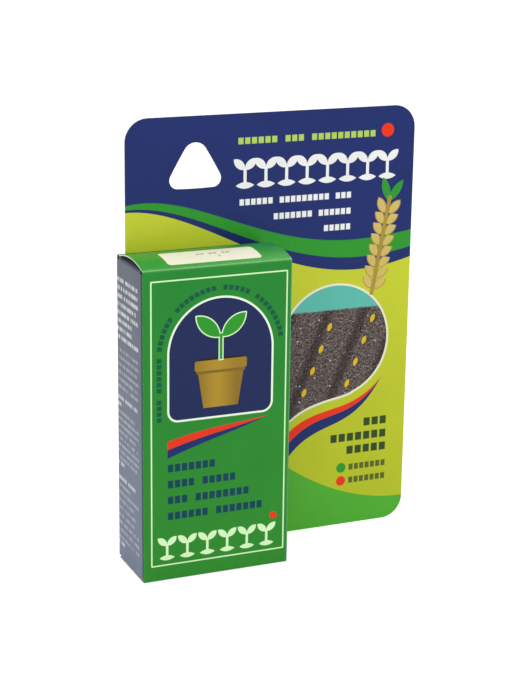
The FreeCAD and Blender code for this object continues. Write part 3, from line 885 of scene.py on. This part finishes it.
@dataclass(frozen=True)
class Turning:
    """A body of revolution with soft edges, from an outline of (radius, height) corners."""

    centre: tuple[float, float]
    base: float
    outline: tuple[tuple[float, float, float], ...]
    around: int = 96
    corner_points: int = 7

    def mesh(self, name: str) -> bpy.types.Object:
        """Turn the outline about the upright axis.

        Each corner (radius, height, rounding) is replaced by points of the quadratic curve that
        leaves its two sides at the rounding's distance. The surface is
        (r(s) cos t, r(s) sin t, h(s)), and points on the axis are joined into one.

        Args:
            name: the object's name.

        Returns:
            The turned piece.
        """
        corners = np.array(self.outline)
        places, rounds = corners[:, :2], corners[:, 2:]
        before, after = np.roll(places, 1, axis=0) - places, np.roll(places, -1, axis=0) - places
        start = places + before / np.linalg.norm(before, axis=1, keepdims=True) * rounds
        end = places + after / np.linalg.norm(after, axis=1, keepdims=True) * rounds
        share = np.linspace(0.0, 1.0, self.corner_points)[None, :, None]
        curve = ((1 - share) ** 2 * start[:, None] + 2 * share * (1 - share) * places[:, None]
                 + share ** 2 * end[:, None]).reshape(-1, 2)
        turn = np.arange(self.around) / self.around * 2 * math.pi
        points = np.stack([curve[:, None, 0] * np.cos(turn) + self.centre[0],
                           curve[:, None, 0] * np.sin(turn) + self.centre[1],
                           np.broadcast_to(curve[:, None, 1] + self.base, (len(curve), self.around))],
                          axis=-1).reshape(-1, 3)
        quads = grid_faces(len(curve), self.around, closed=True)
        places, owners = np.unique(np.round(points * MM / WELD).astype(np.int64), axis=0,
                                   return_inverse=True)
        faces = [list(dict.fromkeys(face)) for face in owners.reshape(-1)[quads].tolist()]
        faces = [face for face in faces if len(face) > 2]
        return faces_mesh(name, places * WELD, faces, crease_angle=40.0, outward=True)


# ---- Carton ---------------------------------------------------------------------------------


@dataclass(frozen=True)
class CartonSizes:
    """The carton's walls, in millimetres, read from the frame."""

    left: float
    right: float
    front: float
    back: float
    top: float

    @classmethod
    def from_frame(cls) -> "CartonSizes":
        """Read the walls' outer faces."""
        (left, front, _), (right, _, top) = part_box("front_panel")
        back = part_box("back_panel")[1][1]
        return cls(left / MM, right / MM, front / MM, back / MM, top / MM)


@dataclass(frozen=True)
class CartonPrint:
    """What is printed on the carton. Places are from the carton's left wall and from the floor."""

    sizes: CartonSizes
    margin_left: float = 3.3
    margin_right: float = 1.9
    frame_top: float = 117.8
    frame_bottom: float = 6.4
    line: float = 0.55
    window_centre: float = 31.0
    window_radius: float = 21.0
    window_spring: float = 89.0
    window_sill: float = 63.5
    ring_gap: float = 3.6
    pot_foot: float = 67.5
    pot_depth: float = 15.0
    pot_brim: float = 86.0
    band_top: tuple[float, ...] = (52.6, 40.0, -75.0, 62.0)
    band_middle: tuple[float, ...] = (49.0, 42.0, -66.0, 64.0)
    band_low: tuple[float, ...] = (45.2, 46.0, -58.0, 62.0)
    band_reach: float = 21.3
    side_left: float = 1.4
    side_right: float = 2.0
    label: tuple[float, ...] = (11.2, 2.6, 48.6, 15.5)

    def front(self, sheet: Sheet) -> Paint:
        """Print the front: frame line, arched window, bands, dashes and a row of seedlings.

        Args:
            sheet: the front wall.

        Returns:
            The printed colour.
        """
        page = sheet.seen_from(self.sizes.left, 0.0)
        green = sheet.graph.mix(Ink.CARTON_GREEN_DEEP, Ink.CARTON_GREEN, page.v.ramp(5, 110))
        art = Artwork(page, green)
        right = self.sizes.right - self.sizes.left - self.margin_right
        rule = page.bar(self.margin_left, self.frame_bottom, right, self.frame_top, corner=0.2)
        art.lay(Ink.PALE, outlined(rule, self.line))
        self._ring_of_dashes(art)
        self._window(art)
        self._bands(art)
        for level, words in ((45.2, (7,)), (38.8, (4, 5)), (32.4, (3, 8)), (26.0, (6, 7))):
            art.lay(Ink.TEXT_BLUE, Dashes(9.5, level, words, height=3.0, letter=2.8).mask(page))
        art.fill(Ink.PALE, page.seedlings(left=5.4, level=13.4, pitch=8.2, count=6, size=10.2))
        art.fill(Ink.RED, page.disc(53.2, 20.6, radius=1.5))
        return art.colour

    def _ring_of_dashes(self, art: Artwork) -> None:
        """Set short dashes round the window's arch and down its left side."""
        page = art.sheet
        around = page.seen_from(self.window_centre, self.window_spring)
        radius = (around.u * around.u + around.v * around.v).root()
        turn = around.v.angle(-around.u)
        level, height, letter = self.window_radius + self.ring_gap, 1.9, 2.3
        ring = Sheet(page.graph, turn * (level - 0.2), radius)
        arch = Dashes(2.0, level, (6, 8, 5, 9), height, letter).mask(ring)
        art.lay(Ink.TEXT_GREEN, arch * around.v.above(0.0))
        side = Sheet(page.graph, page.v, self.window_centre - page.u)
        art.lay(Ink.TEXT_GREEN, Dashes(self.window_sill, level, (4, 6), height, letter).mask(side))

    def _window(self, art: Artwork) -> None:
        """Print the dark arched window with a gold pot and a seedling in it."""
        page, middle = art.sheet, self.window_centre
        left, right = middle - self.window_radius, middle + self.window_radius
        arch = page.disc(middle, self.window_spring, self.window_radius)
        arch = arch.least(page.bar(left, self.window_sill, right, self.window_spring + 3.0, corner=4.0))
        art.fill(Ink.WINDOW, arch)
        art.lay(Ink.PALE_BRIGHT, outlined(arch, 0.8))
        pot = page.seen_from(middle, 0.0)
        half, brim, rim = pot.mirrored(), self.pot_brim, self.pot_brim - 4.0
        flare = half.u - 7.0 - (pot.v - self.pot_foot) * 0.16
        side = flare.most((pot.v - self.pot_foot - self.pot_depth / 2).abs() - self.pot_depth / 2)
        shade = (pot.u + 1.5).abs().ramp(1.0, 8.0)
        art.fill(page.graph.mix(Ink.GOLD, Ink.GOLD_DEEP, shade * 0.8), side)
        art.fill(Ink.GOLD_DEEP, half.bar(-9.8, rim - 1.1, 9.8, rim))
        rim_gold = page.graph.mix(Ink.GOLD, Ink.GOLD_DEEP, shade * 0.5)
        art.fill(rim_gold, half.bar(-10.5, rim, 10.5, brim, corner=0.8))
        art.fill(Ink.SOIL, half.bar(-9.2, brim, 9.2, brim + 0.9, corner=0.4))
        stem = (half.u - 0.55).most((pot.v - brim - 5.0).abs() - 5.0)
        leaves = half.leaf(5.2, brim + 13.0, length=12.5, width=5.4, degrees=42).least(stem)
        art.fill(Ink.PALE, leaves - 0.45)
        art.fill(Ink.BAND_GREEN, leaves)

    def _bands(self, art: Artwork) -> None:
        """Print a red and a dark band that rise gently under the window and end in points."""
        page = art.sheet
        ends = (page.u - self.window_centre).abs() - self.band_reach
        art.fill(Ink.NAVY, page.between(self.band_middle, self.band_low).most(ends))
        art.fill(Ink.RED, page.between(self.band_top, self.band_middle).most(ends))

    def side(self, sheet: Sheet) -> Paint:
        """Print a side wall: pale fine rows on slate, as wide as the wall less its margins, with the slate
        darkening towards the top as painted shade under the lid.

        Args:
            sheet: the side wall.

        Returns:
            The printed colour.
        """
        depth = self.sizes.back - self.sizes.front
        left, right = self.side_left, depth - self.side_left - self.side_right
        page = sheet.seen_from(-depth / 2 - 0.4, 0.0)
        # painted shade: the slate is darker towards the top, under the lid
        art = Artwork(page, sheet.graph.mix(Ink.SLATE_LIGHT, Ink.SLATE, page.v.ramp(0, 115)))
        bold = Paragraph(left, right, 115.2, pitch=3.2, rows=8, height=1.6, letter=0.55, seed=21.0)
        art.lay(Ink.WHITE, bold.mask(page) * 0.7)
        for top, pitch, rows in ((87.6, 2.9, 6), (62.7, 2.66, 8), (33.1, 3.1, 8)):
            block = Paragraph(left, right, top, pitch, rows, height=1.2, letter=0.5, seed=top)
            art.lay(Ink.WHITE, block.mask(page) * 0.32)
        headings = ((67.2, (5, 6, 3)), (64.5, (3,)), (40.5, (1, 3)), (34.6, (7, 6)), (7.5, (1, 3)))
        for level, words in headings:
            line = Dashes(left, level, words, height=1.5, letter=1.4)
            art.lay(Ink.WHITE, line.mask(page) * 0.7)
        return art.colour

    def lid(self, sheet: Sheet) -> Paint:
        """Print the lid: a cream label on green and, on the label, a faint line of stamped marks, with a painted
        highlight near the front fold at the right and painted shade towards the back.

        Args:
            sheet: the lid.

        Returns:
            The printed colour.
        """
        page = sheet.seen_from(self.sizes.left, self.sizes.front)
        # painted highlight: paler green near the front fold, more towards the right
        painted_highlight = page.u.ramp(10.0, 54.0) * page.v.ramp(8.0, 1.0)
        art = Artwork(page, sheet.graph.mix(Ink.LID_GREEN, Ink.LID_PAINTED_HIGHLIGHT, painted_highlight * 0.3))
        # painted shade: darker towards the back, most at the right end
        art.lay(Ink.LID_PAINTED_SHADE, page.v.ramp(2.0, 22.0) * (page.u.ramp(44.0, 58.0) * 0.6 + 0.2))
        art.fill(Ink.CREAM, page.bar(*self.label, corner=1.6))
        stamp = Dashes(24.6, 10.4, (2, 2, 2), height=1.3, letter=1.7)
        art.lay(Ink.STAMP, stamp.mask(page) * 0.7)
        art.lay(Ink.STAMP, inked(page.bar(32.6, 6.4, 33.5, 8.0, corner=0.2)) * 0.5)
        return art.colour


def flat(ink: Paint) -> Callable[[Sheet], Paint]:
    """Artwork that is one ink all over."""
    return lambda sheet: ink


@dataclass
class Carton:
    """The folding carton: four walls, glue flap, bottom flaps, lid, tuck flap and dust flaps."""

    sizes: CartonSizes = field(default_factory=CartonSizes.from_frame)

    def build(self) -> list[bpy.types.Object]:
        """Dress every board of the carton.

        Returns:
            The pieces.
        """
        sheet_of = CartonPrint(self.sizes)
        across, inward, up = 0, 1, 2
        green, slate = flat(Ink.CARTON_GREEN), flat(Ink.SLATE)
        side_top, back_top = (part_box(node)[1][2] / MM for node in ("left_panel", "back_panel"))
        left = Crease(across, self.sizes.left, even=0.0, patchy=0.12)
        # painted highlight along the front's right fold, partly patchy wear
        right = Crease(across, self.sizes.right, Ink.EDGE_PAINTED_HIGHLIGHT, even=0.5, patchy=0.2)
        # pale ink along the lid's front fold and the front's top fold: partly wear, partly a painted highlight on
        # the fold's ridge
        front, top = Crease(inward, self.sizes.front), Crease(up, self.sizes.top)
        # painted shade: dark teal along the side walls' front, back and top folds, partly the front's green ink
        # running over
        side_painted_shades = (Crease(inward, self.sizes.front, Ink.TEAL_PAINTED_SHADE, even=0.75, patchy=0.0, reach=1.0),
                      Crease(inward, self.sizes.back, Ink.TEAL_PAINTED_SHADE, even=0.5, patchy=0.0, reach=0.8),
                      Crease(up, side_top, Ink.TEAL_PAINTED_SHADE, even=0.2, patchy=0.0))
        tuck_back, tuck_top = (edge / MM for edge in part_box("top_tuck_flap")[1][1:])
        # painted shadow: a dark green line along the lid's back edge and the tuck flap's fold, where the lid meets
        # the card
        lid_back_painted_shade = Crease(inward, tuck_back, Ink.LID_PAINTED_SHADE, even=0.4, patchy=0.0)
        tuck_painted_shade = Crease(up, tuck_top, Ink.LID_PAINTED_SHADE, even=0.4, patchy=0.0)
        # painted shade: dark along the back wall's top and left edges, on its plain side too
        back_painted_shades = (Crease(up, back_top, Ink.LID_PAINTED_SHADE, inside=0.9),
                      Crease(across, self.sizes.left, Ink.TEAL_PAINTED_SHADE, even=0.4, patchy=0.0, inside=0.8))
        # painted shade: dark teal along the dust flaps' folds under the lid
        flap_painted_shades = tuple(Crease(across, level, Ink.TEAL_PAINTED_SHADE, even=0.2, patchy=0.0)
                           for level in (self.sizes.left, self.sizes.right))
        finishes = {
            "front": BoardFinish("front_print_and_painted_highlight", Face.FRONT, sheet_of.front, (left, right, top)),
            "left": BoardFinish("left_print_and_painted_shade", Face.LEFT, sheet_of.side, side_painted_shades),
            "right": BoardFinish("right_print_and_painted_shade", Face.RIGHT, sheet_of.side, side_painted_shades),
            "back": BoardFinish("back_print_and_painted_shade", Face.BACK, green, back_painted_shades),
            "lid": BoardFinish("lid_print_and_painted_light", Face.TOP, sheet_of.lid, (front, lid_back_painted_shade), swell=0.2),
            "tuck": BoardFinish("tuck_print_and_painted_shade", Face.BACK, green, (tuck_painted_shade,)),
            "dust": BoardFinish("dust_flap_print_and_painted_shade", Face.TOP, slate, flap_painted_shades),
            "bottom": BoardFinish("bottom_print", Face.BOTTOM, green),
        }
        materials = {key: finish.material() for key, finish in finishes.items()}
        nodes = {
            "front_panel": "front", "left_panel": "left", "right_panel": "right", "back_panel": "back",
            "glue_flap": "back", "bottom_outer_flap": "bottom", "bottom_inner_flap": "bottom",
            "bottom_left_dust_flap": "bottom", "bottom_right_dust_flap": "bottom", "top_lid": "lid",
            "top_tuck_flap": "tuck", "top_left_dust_flap": "dust", "top_right_dust_flap": "dust",
        }
        return [dressed(node, materials[key]) for node, key in nodes.items()]


# ---- Card -----------------------------------------------------------------------------------


@dataclass(frozen=True)
class CardPrint:
    """What is printed on the hang card. Places are from the carton's left wall and the floor."""

    left: float
    right: float
    navy_edge: tuple[float, ...] = (139.5, 29.1, -162.1, 159.6, -45.7)
    green_edge: tuple[float, ...] = (138.3, 15.9, -140.0, 133.5, -34.5)
    dark_edge: tuple[float, ...] = (137.5, 12.2, -145.2, 137.2, -33.6)
    panel_middle: tuple[float, float] = (91.8, 79.0)
    panel_radius: float = 24.0
    panel_gap: float = 3.7
    panel_corner: float = 8.0
    panel_rim: float = 0.9
    band_top: tuple[float, ...] = (-412.2, 1494.3, -1630.5, 601.2)
    band_middle: tuple[float, ...] = (-569.5, 1992.6, -2170.2, 797.7)
    band_low: tuple[float, ...] = (-635.0, 2196.2, -2405.0, 891.3)
    horizon: float = 92.2
    hill_foot: float = 9.2
    hill_bow: float = 0.0068

    def front(self, sheet: Sheet) -> Paint:
        """Print the card: header, bands, planted bed, wheat ear, hill and dashes, on lime that is lighter towards
        the top as painted light.

        Args:
            sheet: the card's front.

        Returns:
            The printed colour.
        """
        page = sheet.seen_from(self.left, 0.0)
        # painted light: the lime is lighter towards the top
        art = Artwork(page, page.graph.mix(Ink.LIME, Ink.LIME_PAINTED_LIGHT, page.v.ramp(30.0, 125.0)))
        art.fill(Ink.NAVY, -page.over(self.dark_edge))
        art.fill(Ink.BAND_GREEN, -page.over(self.green_edge))
        art.fill(Ink.NAVY, -page.over(self.navy_edge))
        self._header_signs(art)
        self._planted_bed(art)
        self._wheat_ear(art)
        self._legend(art)
        return art.colour

    def _header_signs(self, art: Artwork) -> None:
        """Print the header's seedling row between a pale line and three white lines of dashes."""
        page = art.sheet
        title = Dashes.ending_at(107.5, 162.4, (6, 3, 10), height=2.5, letter=2.8)
        art.lay(Ink.TEXT_LIME, title.mask(page))
        art.fill(Ink.WHITE, page.seedlings(left=47.6, level=150.2, pitch=8.7, count=8, size=12.6))
        art.fill(Ink.RED, page.disc(112.6, 163.4, radius=2.7))
        for level, words in ((138.6, (6, 9, 3)), (132.2, (7, 6)), (125.9, (5,))):
            line = Dashes.ending_at(97.5, level, words, height=2.4, letter=2.4)
            art.lay(Ink.WHITE, line.mask(page))

    def _planted_bed(self, art: Artwork) -> None:
        """Print the two bands and over them the picture panel, with seeds in two sloping rows.

        The panel is a disc joined softly with the corner between it and the upper band. The way
        down to the band, times the cosine of its slope, is about the distance to it.
        """
        page, band_cosine = art.sheet, 0.93
        middle_u, middle_v = self.panel_middle
        floor = (page.over(self.band_top) - self.panel_gap) * band_cosine
        corner = (-floor).most(page.v - middle_v).most(page.u - middle_u - self.panel_corner)
        panel = page.disc(middle_u, middle_v, self.panel_radius).melted(corner, 1.5)
        art.fill(Ink.NAVY, page.between(self.band_middle, self.band_low))
        art.fill(Ink.RED, page.between(self.band_top, self.band_middle))
        art.fill(Ink.CREAM, panel)
        art.fill(self._soil_and_sky(page), panel + self.panel_rim)
        pitch, count = 9.5, 4
        for middle, level in ((84.0, 72.0), (103.0, 74.0)):
            row = page.seen_from(middle, level, 68.0).seen_from(-pitch * count / 2, 0.0)
            seed = row.cells(pitch, count).leaf(0.0, 0.0, length=3.8, width=1.9, degrees=0.0)
            art.fill(Ink.TEXT_DARK, seed - 0.3)
            art.fill(Ink.SEED_GOLD, seed)

    def _soil_and_sky(self, page: Sheet) -> Signal:
        """The panel's picture: soil with clods, straw, stones and furrows, and sky over it.

        Args:
            page: the card's front.

        Returns:
            The picture's colour.
        """
        graph = page.graph
        point = graph.vector(page.u, page.v)
        clods = graph.noise(point, 1.1, 3.0, 0.8)
        straw = graph.noise(graph.vector(page.u * 0.7 + page.v, page.v * 2.4 - page.u), 0.8, 2.0, 0.7)
        stones = graph.noise(point, 0.75, 0.0)
        furrow = ((page.u * 0.93 - page.v * 0.37) * 0.42).sine()
        soil = graph.mix(Ink.SOIL, Ink.SOIL_PALE, clods.ramp(0.40, 0.62) * 0.62)
        soil = graph.mix(soil, Ink.SOIL_SPECK, straw.ramp(0.58, 0.68) * 0.6)
        soil = graph.mix(soil, dimmed(Ink.SOIL, 0.5), furrow.ramp(0.35, 1.0) * 0.65)
        soil = graph.mix(soil, Ink.WHITE, stones.ramp(0.78, 0.82) * 0.6)
        bed = page.v - self.horizon - (clods - 0.5) * 3.0
        return graph.mix(Ink.SKY, soil, inked(bed, soft=0.4))

    def _wheat_ear(self, art: Artwork) -> None:
        """Print a straw-coloured ear of wheat with green blades at its top."""
        half_stalk = 19.5
        stalk = art.sheet.seen_from(111.0, 117.0, 80.0).doubled()
        row = stalk.seen_from(2.0 - half_stalk, 0.0).cells(pitch=4.4, count=8)
        grain = row.leaf(0.6, 2.9, length=6.6, width=3.1, degrees=34.0)
        husk = stalk.v.most(stalk.u.abs() - half_stalk) - 0.5
        blades = stalk.leaf(half_stalk + 3.1, 2.2, length=10.5, width=3.4, degrees=26.0)
        art.fill(Ink.BAND_GREEN, blades)
        art.fill(Ink.STRAW_DEEP, grain.least(husk) - 0.35)
        art.fill(Ink.STRAW, grain)

    def _legend(self, art: Artwork) -> None:
        """Print the hill, three dark lines of dashes and two coloured dots with their lines."""
        page = art.sheet
        from_right = page.u - self.right + self.left
        art.fill(Ink.LEAF_GREEN, page.v - (from_right * from_right * self.hill_bow + self.hill_foot))
        for level, letters in ((43.4, 3), (37.6, 7), (32.0, 5)):
            line = Dashes.ending_at(116.4, level, (letters,), height=3.4, letter=3.7)
            art.lay(Ink.TEXT_DARK, line.mask(page))
        for ink, level in ((Ink.BAND_GREEN, 24.6), (Ink.RED, 18.9)):
            art.fill(ink, page.disc(96.0, level, radius=2.1))
            line = Dashes(99.2, level, (7,), height=2.6, letter=2.45)
            art.lay(Ink.TEXT_DARK, line.mask(page) * 0.85)


@dataclass
class HangCard:
    """The printed card and the glue strips that hold the carton to it."""

    def build(self, carton: CartonSizes) -> list[bpy.types.Object]:
        """Dress the card and its glue.

        Args:
            carton: the carton's walls, from which the card's print is placed.

        Returns:
            The pieces.
        """
        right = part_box("hang_card")[1][0] / MM
        finish = BoardFinish("card_print_and_painted_light", Face.FRONT, CardPrint(carton.left, right).front,
                             plain=Ink.CARD_BACK, gloss=0.26, swell=0.5)
        return [dressed("hang_card", finish.material()),
                dressed("card_adhesive", HotGlue().material())]


# ---- Sower ----------------------------------------------------------------------------------


@dataclass
class Sower:
    """The push-rod sower and its spare rod, with the sizes of its spring and knob."""

    spring_turns: float = 4.0
    spring_wire: float = 0.7
    knob_bore: float = 2.55
    knob_bore_end: float = 1.5
    knob_pocket: float = 3.9
    knob_pocket_depth: float = 2.0

    def build(self) -> list[bpy.types.Object]:
        """Dress the mouldings, wind the spring and turn the knob.

        Returns:
            The pieces.
        """
        amber = Moulding("amber_plastic", srgb(190, 150, 48), clear=0.35).material()
        green = Moulding("green_plastic", srgb(56, 146, 58), soft=0.15).material()
        red = Moulding("red_plastic", srgb(206, 44, 36), soft=0.15).material()
        white = Moulding("white_plastic", srgb(230, 230, 224), soft=0.2).material()
        steel = DrawnSteel().material()
        pieces = [dressed(node, amber) for node in
                  ("hopper_body", "hopper_cap", "guide_collar")]
        pieces += [dressed("green_metering_rod", green),
                   dressed("red_metering_rod", red),
                   dressed("outlet_bush", white),
                   dressed("cap_hinge_pin", steel), dressed("rod_clip", steel)]
        return pieces + [self._knob(green), self._spring(steel)]

    def _knob(self, material: bpy.types.Material) -> bpy.types.Object:
        """Turn the thumb knob with a dish in its top and a pocket for the spring."""
        low, high = (np.array(corner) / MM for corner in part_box("push_knob"))
        middle = (low + high) / 2
        radius, height = (high[0] - low[0]) / 2, high[2] - low[2]
        bore, bore_end = self.knob_bore, height - self.knob_bore_end
        pocket, depth = self.knob_pocket, self.knob_pocket_depth
        outline = ((0.0, bore_end, 0.0), (bore, bore_end, 0.02), (bore, depth, 0.02),
                   (pocket, depth, 0.05), (pocket, 0.0, 0.15), (radius, 0.0, 1.4), (radius, height, 1.5),
                   (radius - 2.2, height, 0.5), (radius - 3.0, height - 0.6, 0.5),
                   (0.0, height - 0.75, 0.0))
        piece = Turning((middle[0], middle[1]), low[2], outline).mesh("push_knob_turned")
        return placed(piece, "push_knob", material)

    def _spring(self, material: bpy.types.Material) -> bpy.types.Object:
        """Wind the return spring at its rest length; it is not made to flatten as the knob is pressed."""
        low, high = (np.array(corner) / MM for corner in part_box("return_spring"))
        middle = (low + high) / 2
        slide = next(joint for joint in frame["joints"] if joint["name"] == "press_slide")
        travel = slide["range_m"][1] / MM
        radius = (high[0] - low[0] - self.spring_wire) / 2
        coil = Coil((middle[0], middle[1]), low[2], high[2], radius, self.spring_wire,
                    self.spring_turns)
        piece = placed(coil.mesh("return_spring_coil"), "return_spring", material)
        keep = 1.0 - travel / (high[2] - low[2])
        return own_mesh(piece)


# ---- Studio ---------------------------------------------------------------------------------


@dataclass(frozen=True)
class Softbox:
    """A square area lamp that looks at a point. Sizes and places in metres."""

    name: str
    place: tuple[float, float, float]
    size: float
    power: float
    aim: tuple[float, float, float] = (0.0, 0.0, 0.08)

    def build(self) -> bpy.types.Object:
        """Hang the lamp."""
        lamp = bpy.data.lights.new(self.name, "AREA")
        lamp.size, lamp.energy = self.size, self.power
        piece = bpy.data.objects.new(self.name, lamp)
        bpy.context.scene.collection.objects.link(piece)
        piece.location = self.place
        away = Vector(self.aim) - Vector(self.place)
        piece.rotation_euler = away.to_track_quat("-Z", "Y").to_euler()
        return piece


@dataclass(frozen=True)
class Viewpoint:
    """The camera: its place and direction in metres and degrees."""

    place: tuple[float, float, float] = (-0.27352, -0.61337, 0.27805)
    towards: tuple[float, float, float] = (0.37947, 0.88284, -0.27678)
    roll: float = 0.755
    lens: float = 94.4

    def build(self) -> bpy.types.Object:
        """Set the camera up.

        Its right-hand direction is the level one, turned by the roll towards up.

        Returns:
            The camera.
        """
        data = bpy.data.cameras.new("camera")
        data.lens, data.sensor_width = self.lens, 36.0
        camera = bpy.data.objects.new("camera", data)
        bpy.context.scene.collection.objects.link(camera)
        forward = Vector(self.towards).normalized()
        level = forward.cross(Vector((0, 0, 1))).normalized()
        turn = math.radians(self.roll)
        right = level * math.cos(turn) + level.cross(forward) * math.sin(turn)
        up = right.cross(forward)
        axes = Matrix((right, up, -forward)).transposed()
        camera.matrix_world = Matrix.Translation(self.place) @ axes.to_4x4()
        bpy.context.scene.camera = camera
        return camera


@dataclass(frozen=True)
class Studio:
    """A pale floor and soft light all round, white to the eye where nothing stands."""

    floor_radius: float = 6.0
    floor_sides: int = 96
    sky: float = 0.62
    floor_glow: float = 0.52

    def build(self) -> None:
        """Lay the floor, light the world, hang the lamps and set the camera."""
        scene = bpy.context.scene
        scene.view_settings.view_transform = "Standard"
        self._world(scene)
        self._floor()
        lamps = (
            Softbox("top_softbox", place=(-0.1, -0.2, 1.4), size=1.2, power=11.0),
            Softbox("front_softbox", place=(0.4, -1.4, 0.7), size=1.0, power=6.0),
        )
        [lamp.build() for lamp in lamps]
        Viewpoint().build()

    def _world(self, scene: bpy.types.Scene) -> None:
        """Light the scene evenly, with full white where the eye looks."""
        graph = Graph("world", world=True)
        strength = graph.looked_at() * (1.0 - self.sky) + self.sky
        background = graph.value("ShaderNodeBackground", None,
                                 {"Color": (1.0, 1.0, 1.0, 1.0), "Strength": strength})
        scene.world = graph.end(background, "ShaderNodeOutputWorld")

    def _floor(self) -> bpy.types.Object:
        """Lay a round floor that glows white to the eye and still takes the pack's shadow."""
        turn = np.linspace(0.0, 2 * math.pi, self.floor_sides, endpoint=False)
        points = np.stack([np.cos(turn), np.sin(turn), turn * 0.0], axis=1) * self.floor_radius
        floor = faces_mesh("floor", points, [list(range(self.floor_sides))])
        graph = Graph("pale_floor")
        pale = graph.value("ShaderNodeBsdfDiffuse", None, {"Color": (0.80, 0.80, 0.80, 1.0)})
        glow = graph.value("ShaderNodeEmission", None, {"Strength": graph.looked_at() * self.floor_glow})
        both = graph.value("ShaderNodeAddShader", None, {0: pale, 1: glow})
        floor.data.materials.append(graph.end(both))
        return floor


# ---- Whole pack -----------------------------------------------------------------------------


def main() -> None:
    """Dress the carton, the card and the sower, set the studio, and log how many pieces there are."""
    logging.basicConfig(level=logging.INFO, format="%(name)s: %(message)s")
    carton = Carton()
    pieces = carton.build()
    pieces += HangCard().build(carton.sizes)
    pieces += Sower().build()
    LOG.info("%d pieces", len(pieces))
    Studio().build()


if __name__ == "__main__":
    main()
